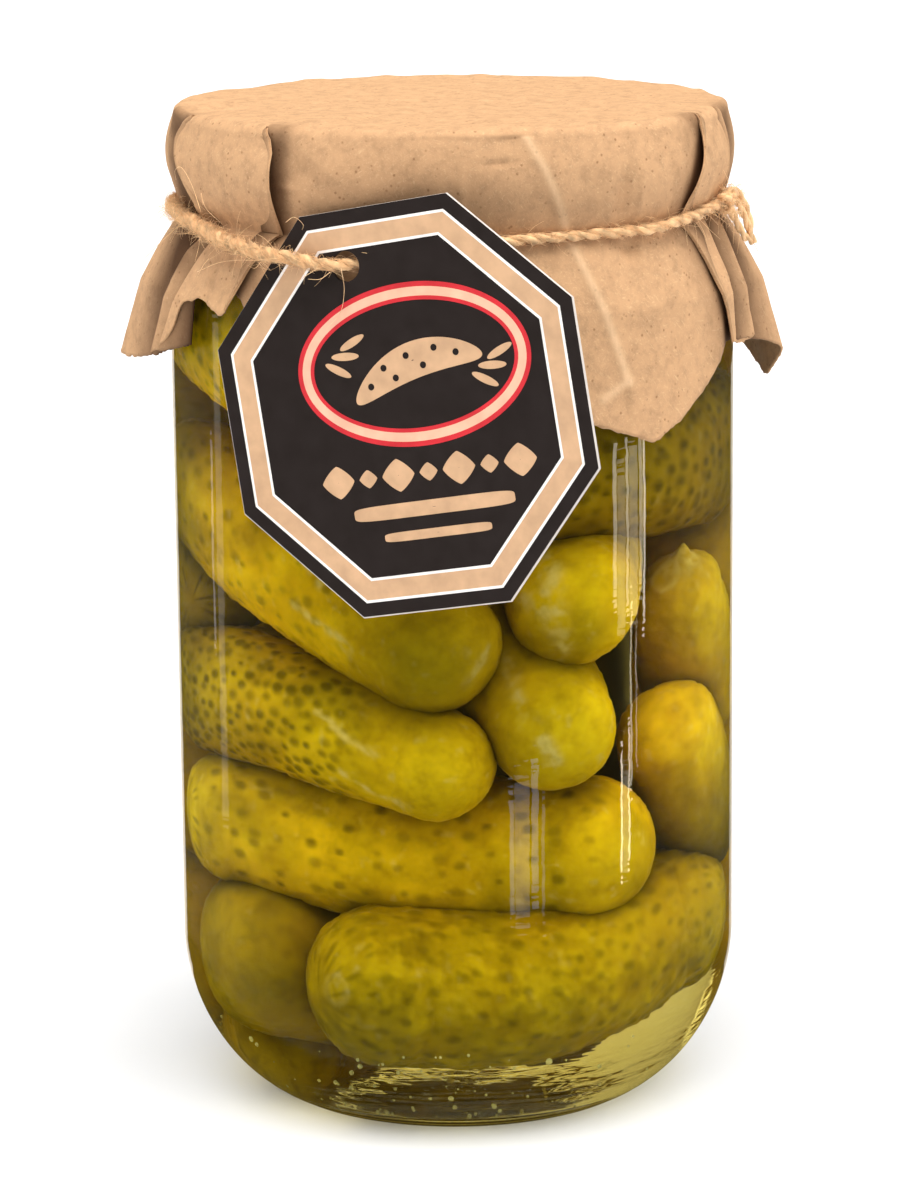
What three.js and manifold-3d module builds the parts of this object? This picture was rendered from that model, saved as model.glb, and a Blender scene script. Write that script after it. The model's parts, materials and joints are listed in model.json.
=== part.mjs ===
// A glass jar of pickled gherkins under a tied paper cover, with a card tag on the twine.
// Millimetres, +Z up. The origin is the centre of the jar's base. The front is towards -Y,
// and an azimuth is measured from the front, positive towards +X.

import * as THREE from "three";
import { mergeVertices } from "three/addons/utils/BufferGeometryUtils.js";
import Module from "manifold-3d";

const wasm = await Module();
wasm.setup();

// Glass jar
const JAR_R = 44;
const WALL = 2.6;
const BASE_THICK = 5;
const BASE_FLAT_R = 24;
const HEEL_RISE = 26;
const HEEL_POWER = 1.84;
const SHOULDER_Z = 130.5;
const NECK_Z = 141.5;
const NECK_R = 39.8;
const NECK_WALL = 2.8;
const RIM_Z = 156.2;
const JAR_SIDES = 40;

// Metal cap under the paper
const LID_R = 42;
const LID_SKIN = 0.8;
const LID_LOW_Z = 147.2;
const LID_TOP_Z = 157.5;
const LID_EDGE = 1.2;
const LID_SIDES = 36;

// Paper cover
const PAPER_THICK = 0.45;
const PAPER_TOP_Z = 158.3;
const PAPER_EDGE_R = 42.9;
const PAPER_BULGE = 1.0;
const NIP_Z = 141.8;
const NIP_R = 41.7;
const SKIRT_R = 44.95;
const SKIRT_STEPS = 5;
const PAPER_COLUMNS = 72;

// Lower edge of the cover: azimuth in degrees, height, and how far it stands off the glass
const HEM = [
  [-180, 128, 1.6], [-165, 126, 2.6], [-150, 121, 3.0], [-135, 117, 3.2], [-119, 117, 1.4],
  [-108, 121.5, 3.0], [-94, 119, 7.4], [-82, 119, 4.6], [-73, 123, 1.2], [-63, 130, 1.4],
  [-52, 129.4, 1.8], [-40, 131, 0.4], [-22, 130, 0.1], [-8, 127, 0.1], [8, 121, 0.1],
  [22, 115, 0.3], [39, 110.4, 0.8], [52, 115.5, 1.0], [65, 121, 1.4], [76, 122.6, 2.6],
  [86, 121, 4.8], [97, 113, 5.4], [108, 118, 4.0], [122, 118, 2.2], [136, 116, 3.0],
  [150, 121, 2.6], [165, 127, 1.8],
];

// Folds pressed into the side of the cover: azimuth, half width in degrees, depth
const PLEATS = [
  [-88, 5, -1.3], [-42, 6, -0.8], [30, 7, 0.4], [71, 5, -0.9], [118, 6, -0.8], [158, 7, -0.7], [-140, 6, -0.8],
];

// Twine
const TWINE_R = 1;
const TWINE_STEPS = 84;
const TWINE_SIDES = 7;
const KNOT_R = 2.3;
const LOOP_R = 2.9;
const LOOP_LEAN = 25;

// Twine route: azimuth, distance from the axis, height. It dips to the tag's hole.
const TWINE_ROUTE = [
  [-19.6, 46, 138.6], [-17.6, 45, 138.7], [-14.4, 44.9, 139.2], [-8, 43.8, 140.3], [11, 43.3, 141.8],
  [40, 43.2, 141.9], [66, 43.2, 141.9], [90, 43.2, 142.4], [115, 43.2, 142], [145, 43.2, 142], [180, 43.2, 142],
  [-145, 43.2, 142], [-115, 43.2, 142.3], [-90, 43.2, 142.6], [-70, 43.4, 142.3], [-54, 44.6, 141.2],
  [-42, 46.3, 140.2], [-33, 47.3, 139.5], [-24.4, 47.2, 138.9], [-21.6, 46.95, 138.7],
];
const KNOT_AZ = 84;

// Card tag
const TAG_ACROSS = 60;
const TAG_THICK = 0.5;
const TAG_YAW = -28;
const TAG_TILT = -2.5;
const TAG_SPIN = 11;
const TAG_CENTRE = [-6.85, -48.65, 118.2];
const TAG_HOLE_R = 2.5;
const TAG_HOLE = [-6.0, 22.0];

// Gherkins: azimuth, distance from the axis and height of each round end's centre,
// the radius at each end, how far the middle bows outwards, and how far it lifts
const GHERKINS = {
  low_front: { a: [-19, 29, 25.5], b: [72, 29.5, 30.5], r: [12.2, 11.2], bow: 7, lift: -2 },
  low_left: { a: [-63, 28, 27], b: [140, 13, 19.5], r: [12.3, 11.6] },
  long_front: { a: [-73, 30.5, 47], b: [37, 27.5, 45], r: [10.4, 11.4], bow: 3, lift: -1 },
  spotted_front: { a: [-83, 31, 67], b: [-6, 32, 61], r: [10.4, 8.8], bow: 3, lift: 2 },
  upper_front: { a: [-88, 30, 98], b: [-7, 31, 79], r: [11.2, 10], bow: 1.5 },
  short_middle: { a: [12, 15, 80], b: [25, 32, 65.5], r: [9.4, 9.3] },
  end_on: { a: [32, 31, 85], b: [110, 12, 93], r: [9.8, 9] },
  stem_right: { a: [72, 32, 81.5], b: [90, 31.5, 67], r: [7.8, 9] },
  upright_right: { a: [66, 32.5, 60.5], b: [86, 32, 45], r: [8.6, 8.8] },
  high_right: { a: [14, 27, 106], b: [92, 27.5, 104], r: [11.5, 12.5], bow: 3 },
  high_left: { a: [-100, 30.5, 127], b: [-25, 30.5, 118], r: [10.8, 10.5], bow: 4 },
  left_side: { a: [-92, 31.5, 82], b: [-146, 30, 85], r: [9, 9.8], bow: 2 },
  low_back: { a: [-118, 29, 25], b: [178, 29, 21], r: [11, 10.5], bow: 2 },
  low_right: { a: [126, 29.5, 27], b: [116, 30.5, 50], r: [10.6, 10], bow: 1 },
  back_second: { a: [-118, 30, 46], b: [168, 30, 41], r: [10.6, 10.4], bow: 2 },
  back_third: { a: [-140, 30.5, 62], b: [150, 30, 70], r: [10.2, 10.8], bow: 2 },
  back_right: { a: [178, 30, 92], b: [112, 30, 83], r: [10.6, 10.4], bow: 3 },
  back_fourth: { a: [-122, 30, 103], b: [165, 30, 112], r: [10.8, 10.3], bow: 3, lift: 1 },
  top_front: { a: [22, 28, 129], b: [88, 28, 130], r: [10.8, 11], bow: 4 },
  upright_back: { a: [134, 30, 106], b: [120, 30, 129], r: [10.6, 10.2], bow: 1 },
  top_back: { a: [-136, 29, 131], b: [150, 28, 134], r: [10.8, 10.2], bow: 3 },
  inner_low: { a: [180, 4, 44], b: [100, 9, 68], r: [9, 9.6] },
  inner_high: { a: [175, 12, 104], b: [-100, 6, 126], r: [10.2, 10.4] },
};
const GHERKIN_SIDES = 10;
const GHERKIN_RINGS = 8;
const GHERKIN_BELLY = 0.05;
const CONTENTS_GAP = 0.35;
const CORE_R = 21;
const CORE_LOW_Z = 16;
const CORE_TOP_Z = 138;
const CONTENTS_TOP_Z = 150;

const rad = THREE.MathUtils.degToRad;

function polar([azimuth, distance, z]) {
  return new THREE.Vector3(distance * Math.sin(rad(azimuth)), -distance * Math.cos(rad(azimuth)), z);
}

function finish(name, geometry, colour, roughness, metalness = 0) {
  const mesh = new THREE.Mesh(geometry, new THREE.MeshStandardMaterial({ color: colour, roughness, metalness }));
  mesh.name = name;
  return mesh;
}

// Lathe turned so that the profile's second coordinate is the height
function turned(profile, sides) {
  return new THREE.LatheGeometry(profile.map(([r, z]) => new THREE.Vector2(r, z)), sides).rotateX(Math.PI / 2);
}

// Solid and geometry conversions for joining and cutting
function toSolid(geometry) {
  const bare = geometry.clone();
  bare.deleteAttribute("normal");
  bare.deleteAttribute("uv");
  const merged = mergeVertices(bare, 1e-4);
  const vertProperties = new Float32Array(merged.attributes.position.array);
  return new wasm.Manifold(new wasm.Mesh({ numProp: 3, vertProperties, triVerts: new Uint32Array(merged.index.array) }));
}

function toGeometry(solid) {
  const mesh = solid.getMesh();
  const geometry = new THREE.BufferGeometry();
  geometry.setAttribute("position", new THREE.BufferAttribute(new Float32Array(mesh.vertProperties), 3));
  geometry.setIndex(new THREE.BufferAttribute(new Uint32Array(mesh.triVerts), 1));
  geometry.computeVertexNormals();
  return geometry;
}

// Rounded heel: a superellipse quarter from the flat base up into the straight wall
function heel(flatR, wallR, lowZ, topZ, steps) {
  const points = [];
  for (let i = 0; i <= steps; i++) {
    const turn = (i / steps) * (Math.PI / 2);
    const across = Math.sin(turn) ** (2 / HEEL_POWER);
    const up = 1 - Math.cos(turn) ** (2 / HEEL_POWER);
    points.push([flatR + (wallR - flatR) * across, lowZ + (topZ - lowZ) * up]);
  }
  return points;
}

// Shoulder: a smooth step in radius between two heights
function shoulder(wallR, neckR, lowZ, topZ, steps) {
  const points = [];
  for (let i = 0; i <= steps; i++) {
    const t = i / steps;
    points.push([wallR + (neckR - wallR) * t * t * (3 - 2 * t), lowZ + (topZ - lowZ) * t]);
  }
  return points;
}

function cavityProfile(gap) {
  return [
    [0, BASE_THICK + gap],
    ...heel(BASE_FLAT_R - WALL, JAR_R - WALL - gap, BASE_THICK + gap, HEEL_RISE + 1, 8),
    ...shoulder(JAR_R - WALL - gap, NECK_R - NECK_WALL - gap, SHOULDER_Z, NECK_Z, 4),
  ];
}

function makeJar() {
  const outside = [
    [0, 0],
    ...heel(BASE_FLAT_R, JAR_R, 0, HEEL_RISE, 9),
    ...shoulder(JAR_R, NECK_R, SHOULDER_Z, NECK_Z, 4),
    [NECK_R, RIM_Z - 0.8],
    [NECK_R - 0.7, RIM_Z],
    [NECK_R - NECK_WALL + 0.7, RIM_Z],
    [NECK_R - NECK_WALL, RIM_Z - 0.8],
  ];
  return finish("jar", turned([...outside, ...cavityProfile(0).reverse()], JAR_SIDES), 0xb9c6a2, 0.05);
}

function makeLid() {
  const profile = [
    [0, LID_TOP_Z - LID_SKIN],
    [LID_R - LID_SKIN, LID_TOP_Z - LID_SKIN],
    [LID_R - LID_SKIN, LID_LOW_Z],
    [LID_R, LID_LOW_Z],
    [LID_R, LID_TOP_Z - LID_EDGE],
    [LID_R - LID_EDGE * 0.3, LID_TOP_Z - LID_EDGE * 0.3],
    [LID_R - LID_EDGE, LID_TOP_Z],
    [0, LID_TOP_Z],
  ];
  return finish("lid", turned(profile, LID_SIDES), 0xc8b25e, 0.35, 0.8);
}

// One gherkin: rings along a bowed axis, with the radius closing to a point at both tips
function gherkin({ a, b, r, bow = 0, lift = 0 }) {
  const start = polar(a);
  const end = polar(b);
  const middle = start.clone().add(end).multiplyScalar(0.5);
  const outward = new THREE.Vector3(middle.x, middle.y, 0);
  if (outward.length() > 1) outward.normalize();
  const pull = outward.multiplyScalar(bow).add(new THREE.Vector3(0, 0, lift));
  const along = end.clone().sub(start);
  const core = along.length();
  along.normalize();
  const total = core + r[0] + r[1];
  const side = new THREE.Vector3(0, 0, 1).cross(along).normalize();
  const up = along.clone().cross(side);
  const positions = [];
  const index = [];
  const ringPoint = (s, angle) => {
    const travel = total * s - r[0];
    const t = THREE.MathUtils.clamp(travel / core, 0, 1);
    const radius = (r[0] + (r[1] - r[0]) * t) * (1 + GHERKIN_BELLY * 4 * t * (1 - t));
    const beyond = travel < 0 ? -travel / r[0] : Math.max(0, (travel - core) / r[1]);
    const width = radius * Math.sqrt(Math.max(0, 1 - Math.min(1, beyond) ** 2));
    return start.clone().addScaledVector(along, travel).addScaledVector(pull, 4 * t * (1 - t))
      .addScaledVector(side, width * Math.cos(angle)).addScaledVector(up, width * Math.sin(angle));
  };
  positions.push(...ringPoint(0, 0).toArray());
  for (let i = 0; i < GHERKIN_RINGS; i++) {
    const s = 0.5 - 0.5 * Math.cos((Math.PI * (i + 1)) / (GHERKIN_RINGS + 1));
    for (let j = 0; j < GHERKIN_SIDES; j++) {
      positions.push(...ringPoint(s, (2 * Math.PI * j) / GHERKIN_SIDES).toArray());
    }
  }
  positions.push(...ringPoint(1, 0).toArray());
  const last = positions.length / 3 - 1;
  for (let j = 0; j < GHERKIN_SIDES; j++) {
    const k = (j + 1) % GHERKIN_SIDES;
    index.push(0, 1 + k, 1 + j);
    for (let i = 0; i < GHERKIN_RINGS - 1; i++) {
      const low = 1 + i * GHERKIN_SIDES;
      const high = low + GHERKIN_SIDES;
      index.push(low + j, low + k, high + j, low + k, high + k, high + j);
    }
    const ring = 1 + (GHERKIN_RINGS - 1) * GHERKIN_SIDES;
    index.push(ring + j, ring + k, last);
  }
  const geometry = new THREE.BufferGeometry();
  geometry.setAttribute("position", new THREE.Float32BufferAttribute(positions, 3));
  geometry.setIndex(index);
  return geometry;
}

// The heap: every gherkin fused on a plain core and kept just inside the glass
function makePickles() {
  const coreProfile = [[0, CORE_LOW_Z], [CORE_R - 4, CORE_LOW_Z], [CORE_R, CORE_LOW_Z + 10], [CORE_R, CORE_TOP_Z - 8],
    [CORE_R - 4, CORE_TOP_Z], [0, CORE_TOP_Z]];
  let heap = toSolid(turned(coreProfile, 14));
  for (const shape of Object.values(GHERKINS)) heap = heap.add(toSolid(gherkin(shape)));
  const cavity = [...cavityProfile(CONTENTS_GAP), [NECK_R - NECK_WALL - CONTENTS_GAP, CONTENTS_TOP_Z],
    [0, CONTENTS_TOP_Z]];
  heap = heap.intersect(toSolid(turned(cavity, JAR_SIDES)));
  const pieces = heap.decompose().sort((one, two) => two.volume() - one.volume());
  return finish("pickles", toGeometry(pieces[0]), 0xa08a0c, 0.35);
}

// Smooth value of one column of the hem table at an azimuth
function hemValue(azimuth, column) {
  for (let i = 0; i < HEM.length; i++) {
    const here = HEM[i];
    const next = HEM[(i + 1) % HEM.length];
    const span = (next[0] - here[0] + 360) % 360;
    const past = (azimuth - here[0] + 720) % 360;
    if (past <= span) {
      const t = past / span;
      return here[column] + (next[column] - here[column]) * t * t * (3 - 2 * t);
    }
  }
  return HEM[0][column];
}

function pleatDepth(azimuth) {
  let depth = 0;
  for (const [at, halfWidth, amount] of PLEATS) {
    const away = ((azimuth - at + 540) % 360) - 180;
    depth += amount * Math.exp(-((away / halfWidth) ** 2));
  }
  return depth;
}

// Outer face of the cover as distance from the axis and height, row by row from the centre
function coverRows(azimuth) {
  const pleat = pleatDepth(azimuth);
  const rows = [[18, PAPER_TOP_Z], [34, PAPER_TOP_Z], [40.8, PAPER_TOP_Z - 0.1]];
  rows.push([PAPER_EDGE_R - 0.5, PAPER_TOP_Z - 0.7]);
  for (const t of [0, 0.25, 0.5, 0.75, 1]) {
    const z = PAPER_TOP_Z - 2.2 + (NIP_Z - PAPER_TOP_Z + 2.2) * t;
    const bulge = (PAPER_BULGE + Math.max(0, pleat)) * Math.sin(Math.PI * Math.min(1, t * 1.1)) ** 2;
    const pinch = (PAPER_EDGE_R - NIP_R) * t ** 3;
    const press = Math.max(Math.min(0, pleat), -0.25 - 2 * t * (1 - t)) * Math.min(1, 3 * t);
    rows.push([PAPER_EDGE_R + Math.max(0, bulge + press * (1 - t)) - pinch, z]);
  }
  const hemZ = hemValue(azimuth, 1);
  const standOff = hemValue(azimuth, 2);
  for (let i = 1; i <= SKIRT_STEPS; i++) {
    const t = (i / SKIRT_STEPS) ** 1.3;
    const z = NIP_Z + (hemZ - NIP_Z) * t;
    const down = Math.min(1, (NIP_Z - z) / (NIP_Z - SHOULDER_Z));
    rows.push([NIP_R + (SKIRT_R - NIP_R) * down ** 0.8 + standOff * t, z]);
  }
  return rows;
}

// Paper cover: one thin closed sheet, its inner face a paper's thickness inside the outer
function makePaperCover() {
  const outer = [];
  const inner = [];
  for (let j = 0; j < PAPER_COLUMNS; j++) {
    const azimuth = -180 + (360 * j) / PAPER_COLUMNS;
    const rows = coverRows(azimuth);
    const column = rows.map(([r, z]) => polar([azimuth, r, z]));
    outer.push(column);
    inner.push(rows.map(([r, z], i) => {
      const before = rows[Math.max(0, i - 1)];
      const after = rows[Math.min(rows.length - 1, i + 1)];
      const run = Math.hypot(after[0] - before[0], after[1] - before[1]);
      const nr = -(after[1] - before[1]) / run;
      const nz = (after[0] - before[0]) / run;
      return polar([azimuth, r - PAPER_THICK * nr, z - PAPER_THICK * nz]);
    }));
  }
  const rowCount = outer[0].length;
  const positions = [0, 0, PAPER_TOP_Z, 0, 0, PAPER_TOP_Z - PAPER_THICK];
  const index = [];
  for (const face of [outer, inner]) for (const column of face) for (const p of column) positions.push(...p.toArray());
  const at = (face, j, i) => 2 + (face * PAPER_COLUMNS + (j % PAPER_COLUMNS)) * rowCount + i;
  for (let j = 0; j < PAPER_COLUMNS; j++) {
    index.push(0, at(0, j, 0), at(0, j + 1, 0));
    index.push(1, at(1, j + 1, 0), at(1, j, 0));
    for (let i = 0; i < rowCount - 1; i++) {
      index.push(at(0, j, i), at(0, j, i + 1), at(0, j + 1, i), at(0, j + 1, i), at(0, j, i + 1), at(0, j + 1, i + 1));
      index.push(at(1, j, i), at(1, j + 1, i), at(1, j, i + 1), at(1, j + 1, i), at(1, j + 1, i + 1), at(1, j, i + 1));
    }
    const hem = rowCount - 1;
    index.push(at(0, j, hem), at(1, j, hem), at(0, j + 1, hem), at(0, j + 1, hem), at(1, j, hem), at(1, j + 1, hem));
  }
  const geometry = new THREE.BufferGeometry();
  geometry.setAttribute("position", new THREE.Float32BufferAttribute(positions, 3));
  geometry.setIndex(index);
  geometry.computeVertexNormals();
  return finish("paper_cover", geometry, 0xd0a473, 0.85);
}

// Twine: a ring nipped round the neck that passes through the tag's hole, with its knot
function makeTwine() {
  const route = new THREE.CatmullRomCurve3(TWINE_ROUTE.map(polar), true, "centripetal");
  let twine = toSolid(new THREE.TubeGeometry(route, TWINE_STEPS, TWINE_R, TWINE_SIDES, true));
  const knot = new THREE.SphereGeometry(KNOT_R, 10, 8).scale(0.8, 1.1, 1.0);
  const knotAt = polar([KNOT_AZ, 44.6, 143]);
  twine = twine.add(toSolid(knot.translate(knotAt.x, knotAt.y, knotAt.z)));
  const loop = new THREE.TorusGeometry(LOOP_R, TWINE_R * 0.9, 7, 12).rotateY(rad(90 - LOOP_LEAN));
  const loopAt = polar([KNOT_AZ + 5, 46.6, 140.4]);
  twine = twine.add(toSolid(loop.translate(loopAt.x, loopAt.y, loopAt.z)));
  return finish("twine", toGeometry(twine), 0xd8b078, 0.9);
}

// Card tag: an octagon with one punched hole, hung by its upper left side
function makeTag() {
  const outline = new THREE.Shape();
  const corner = TAG_ACROSS / 2 / Math.cos(Math.PI / 8);
  for (let i = 0; i < 8; i++) {
    const angle = ((i + 0.5) * Math.PI) / 4;
    outline[i ? "lineTo" : "moveTo"](corner * Math.cos(angle), corner * Math.sin(angle));
  }
  outline.closePath();
  const hole = new THREE.Path();
  hole.absarc(TAG_HOLE[0], TAG_HOLE[1], TAG_HOLE_R, 0, 2 * Math.PI, true);
  outline.holes.push(hole);
  const card = new THREE.ExtrudeGeometry(outline, { depth: TAG_THICK, bevelEnabled: false, curveSegments: 9 });
  const tag = finish("tag", card, 0x3a2f2c, 0.5);
  tag.rotation.set(Math.PI / 2 + rad(TAG_TILT), 0, rad(TAG_SPIN));
  const hung = new THREE.Group();
  hung.rotation.z = rad(TAG_YAW);
  hung.position.set(...TAG_CENTRE);
  hung.add(tag);
  return hung;
}

const group = new THREE.Group();
group.add(makeJar(), makePickles(), makeLid(), makePaperCover(), makeTwine(), makeTag());

export default group;
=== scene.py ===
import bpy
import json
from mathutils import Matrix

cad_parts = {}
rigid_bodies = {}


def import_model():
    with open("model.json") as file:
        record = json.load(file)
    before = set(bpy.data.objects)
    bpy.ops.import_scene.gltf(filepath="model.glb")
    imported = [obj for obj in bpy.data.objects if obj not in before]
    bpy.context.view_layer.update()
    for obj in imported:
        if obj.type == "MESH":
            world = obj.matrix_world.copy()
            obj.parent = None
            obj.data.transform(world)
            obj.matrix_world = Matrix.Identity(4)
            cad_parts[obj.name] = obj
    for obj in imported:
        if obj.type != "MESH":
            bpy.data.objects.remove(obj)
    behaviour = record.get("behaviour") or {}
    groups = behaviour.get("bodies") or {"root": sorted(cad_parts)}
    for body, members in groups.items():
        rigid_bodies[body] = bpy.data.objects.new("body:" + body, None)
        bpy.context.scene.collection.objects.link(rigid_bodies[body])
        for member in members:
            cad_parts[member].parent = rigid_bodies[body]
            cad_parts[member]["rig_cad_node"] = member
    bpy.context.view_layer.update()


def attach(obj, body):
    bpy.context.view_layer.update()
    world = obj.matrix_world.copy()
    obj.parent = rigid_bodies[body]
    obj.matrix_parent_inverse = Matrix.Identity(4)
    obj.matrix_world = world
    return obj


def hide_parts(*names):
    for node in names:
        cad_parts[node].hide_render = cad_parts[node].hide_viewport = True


bl_info = {
    "name": "Pickle jar dressing",
    "version": (1, 0, 0),
    "blender": (4, 5, 0),
    "location": "View3D > Sidebar > Pickle jar",
    "description": "Glass, brine, gherkins, folded kraft paper, jute twine and a card tag",
    "category": "Add Mesh",
}

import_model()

import json
import math

import bpy
import numpy as np
from mathutils import Matrix, Vector

MM = 0.001
BODY = "root"


# Sizes and colours that a user would change

def millimetres(name, description, default):
    """A size in the sidebar, its default given in millimetres."""
    return bpy.props.FloatProperty(name=name, description=description, default=default * MM, unit="LENGTH")


def hex_colour(name, description, default):
    """A colour in the sidebar, as an sRGB hex value."""
    return bpy.props.StringProperty(name=name, description=description, default=default)


class JarSizes(bpy.types.PropertyGroup):
    radius: millimetres("Jar radius", "Outer radius of the straight wall", 44)
    wall: millimetres("Wall", "Thickness of the glass wall", 2.6)
    base: millimetres("Base", "Thickness of the glass base", 5)
    heel_rise: millimetres("Heel rise", "Height of the rounded heel", 26)
    flat_radius: millimetres("Bearing radius", "Radius of the ring the jar stands on", 24)
    neck_radius: millimetres("Neck radius", "Outer radius of the neck", 39.8)
    brine_level: millimetres("Brine level", "Height of the brine", 150)


class PaperSizes(bpy.types.PropertyGroup):
    thickness: millimetres("Paper thickness", "Thickness of the sheet, drawn a little heavy", 0.28)
    top: millimetres("Top", "Height of the flat top", 158.2)
    edge_radius: millimetres("Edge radius", "Radius at the rim of the lid", 42.9)
    nip_height: millimetres("Nip height", "Height of the tied waist", 141.8)
    nip_radius: millimetres("Nip radius", "Radius of the tied waist", 41.7)
    skirt_radius: millimetres("Skirt radius", "Radius where the skirt lies on the glass", 44.95)


class Colours(bpy.types.PropertyGroup):
    glass: hex_colour("Glass", "Tint of the glass", "#F6FBF3")
    brine: hex_colour("Brine", "Colour left by the brine", "#F2E27A")
    skin: hex_colour("Skin", "Main colour of the gherkins", "#CCA304")
    skin_green: hex_colour("Green skin", "Greener skin", "#A29106")
    skin_ripe: hex_colour("Ripe skin", "Yellow tips", "#D9B60C")
    skin_pale: hex_colour("Pale marks", "Scratches and scars", "#DCC46C")
    wart: hex_colour("Warts", "Dark spots on the skin", "#6B5B06")
    paper: hex_colour("Kraft paper", "Brown kraft paper", "#C49A72")
    jute: hex_colour("Jute", "Natural jute", "#EBBF8C")
    card: hex_colour("Card print", "Dark printed ground", "#2A2322")
    card_tan: hex_colour("Tan print", "Tan printed bands", "#CDA580")
    card_red: hex_colour("Red print", "Red printed line", "#CF2F37")


def sizes():
    return bpy.context.scene.pickle_jar_sizes


def paper_sizes():
    return bpy.context.scene.pickle_jar_paper


def colour(name):
    return linear(getattr(bpy.context.scene.pickle_jar_colours, name))


def linear(hex_value):
    """sRGB hex to linear RGBA."""
    parts = [int(hex_value[i:i + 2], 16) / 255 for i in (1, 3, 5)]
    return tuple(p / 12.92 if p <= 0.04045 else ((p + 0.055) / 1.055) ** 2.4 for p in parts) + (1.0,)


# Driving tables, in millimetres and degrees

# Gherkins, as in the source: azimuth, distance from the axis and height of each round end's
# centre, the radius at each end, outward bow and lift of the middle. Then the skin: gap is the
# spacing of the warts in millimetres, spot how dark they are, until how far along they go,
# pimples how rough the skin is, ripe how yellow the second end is, tone how light the skin, partly
# its own colour and partly painted light and shade, and then the painted shade along the gherkin,
# how much of that lightness is left at the first end, the middle and the second end. marks are pale
# scratches, each a line of azimuths and heights, and wide is their half width in millimetres.
# scars are torn places, by azimuth, distance, height and strength, and spike is the stem's stub.
GHERKINS = {
    "low_front": dict(a=(-19, 29, 25.5), b=(72, 29.5, 30.5), r=(12.2, 11.2), bow=7, lift=-2,
                      gap=3.3, spot=0.5, until=0.98, ripe=0.25, tone=0.66, dim=(0.84, 0.86, 0.8),
                      pimples=1.0, scars=[(-27, 40.2, 26, 0.4)]),
    "low_left": dict(a=(-63, 28, 27), b=(140, 13, 19.5), r=(12.3, 11.6),
                     gap=4.5, spot=0.2, ripe=0.1, tone=0.53, dim=(1.1, 0.9, 0.6)),
    "long_front": dict(a=(-73, 30.5, 47), b=(37, 27.5, 45), r=(10.4, 11.4), bow=3, lift=-1,
                       gap=4.3, spot=0.72, ripe=0.05, tone=1.08, dim=(1.1, 1.2, 0.95)),
    "spotted_front": dict(a=(-83, 31, 67), b=(-6, 32, 61), r=(10.4, 8.8), bow=3, lift=2,
                          gap=2.35, spot=0.88, until=0.72, ripe=0.5, tone=1.04, dim=(0.52, 1.02, 0.96),
                          marks=[((-33, 69), (-25, 65.5), (-17.5, 63)),
                                 ((-27, 60), (-19, 57), (-11, 55))]),
    "upper_front": dict(a=(-88, 30, 98), b=(-7, 31, 79), r=(11.2, 10), bow=1.5,
                        gap=3.8, spot=0.55, until=0.75, ripe=0.35, tone=1.15, dim=(0.5, 1.2, 0.62),
                        marks=[((-43, 94.7), (-36, 91.2), (-31.5, 88.6)),
                               ((-41, 85.2), (-34, 83), (-24, 80)), ((7.5, 80), (5, 77), (2, 74.5))]),
    "short_middle": dict(a=(12, 15, 80), b=(25, 32, 65.5), r=(9.4, 9.3), gap=5, spot=0.18,
                         ripe=0.6, tone=0.85, wide=1.1, marks=[((12, 79), (15, 70), (21, 62))]),
    "end_on": dict(a=(32, 31, 85), b=(110, 12, 93), r=(9.8, 9), gap=5, spot=0.12, ripe=0.3, tone=1.05,
                   wide=1.3, marks=[((23, 92), (21, 86), (24, 79)), ((16, 86.5), (22, 85.5))]),
    "stem_right": dict(a=(72, 32, 81.5), b=(90, 31.5, 67), r=(7.8, 9), gap=5, spot=0.05,
                       ripe=0.4, tone=0.9, scars=[(61.5, 32.5, 86.2, 0.9)], spike=(66.5, 33.6, 89)),
    "upright_right": dict(a=(66, 32.5, 60.5), b=(86, 32, 45), r=(8.6, 8.8), gap=5, spot=0.05, ripe=0.0,
                          tone=1.2, dim=(0.95, 0.5, 0.12)),
    "high_right": dict(a=(14, 27, 106), b=(92, 27.5, 104), r=(11.5, 12.5), bow=3,
                       gap=2.8, spot=0.8, ripe=0.0, tone=0.46),
    "high_left": dict(a=(-100, 30.5, 127), b=(-25, 30.5, 118), r=(10.8, 10.5), bow=4,
                      gap=3.2, spot=0.7, ripe=0.0, tone=1.7,
                      marks=[((-75, 113.2), (-62, 111.2), (-50, 109.8))]),
    "left_side": dict(a=(-92, 31.5, 82), b=(-146, 30, 85), r=(9, 9.8), bow=2,
                      gap=3.2, spot=0.7, ripe=0.1, tone=0.46),
    "low_back": dict(a=(-118, 29, 25), b=(178, 29, 21), r=(11, 10.5), bow=2),
    "lowest_left": dict(a=(-76, 22, 13.5), b=(-150, 21, 13), r=(7.4, 7.2), bow=2, tone=0.6),
    "low_right": dict(a=(126, 29.5, 27), b=(116, 30.5, 50), r=(10.6, 10), bow=1),
    "back_second": dict(a=(-118, 30, 46), b=(168, 30, 41), r=(10.6, 10.4), bow=2),
    "back_third": dict(a=(-140, 30.5, 62), b=(150, 30, 70), r=(10.2, 10.8), bow=2),
    "back_right": dict(a=(178, 30, 92), b=(112, 30, 83), r=(10.6, 10.4), bow=3),
    "back_fourth": dict(a=(-122, 30, 103), b=(165, 30, 112), r=(10.8, 10.3), bow=3, lift=1),
    "top_front": dict(a=(22, 28, 129), b=(88, 28, 130), r=(10.8, 11), bow=4),
    "upright_back": dict(a=(134, 30, 106), b=(120, 30, 129), r=(10.6, 10.2), bow=1),
    "top_back": dict(a=(-136, 29, 131), b=(150, 28, 134), r=(10.8, 10.2), bow=3),
    "inner_low": dict(a=(180, 4, 44), b=(100, 9, 68), r=(9, 9.6)),
    "inner_high": dict(a=(175, 12, 104), b=(-100, 6, 126), r=(10.2, 10.4)),
}
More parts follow.
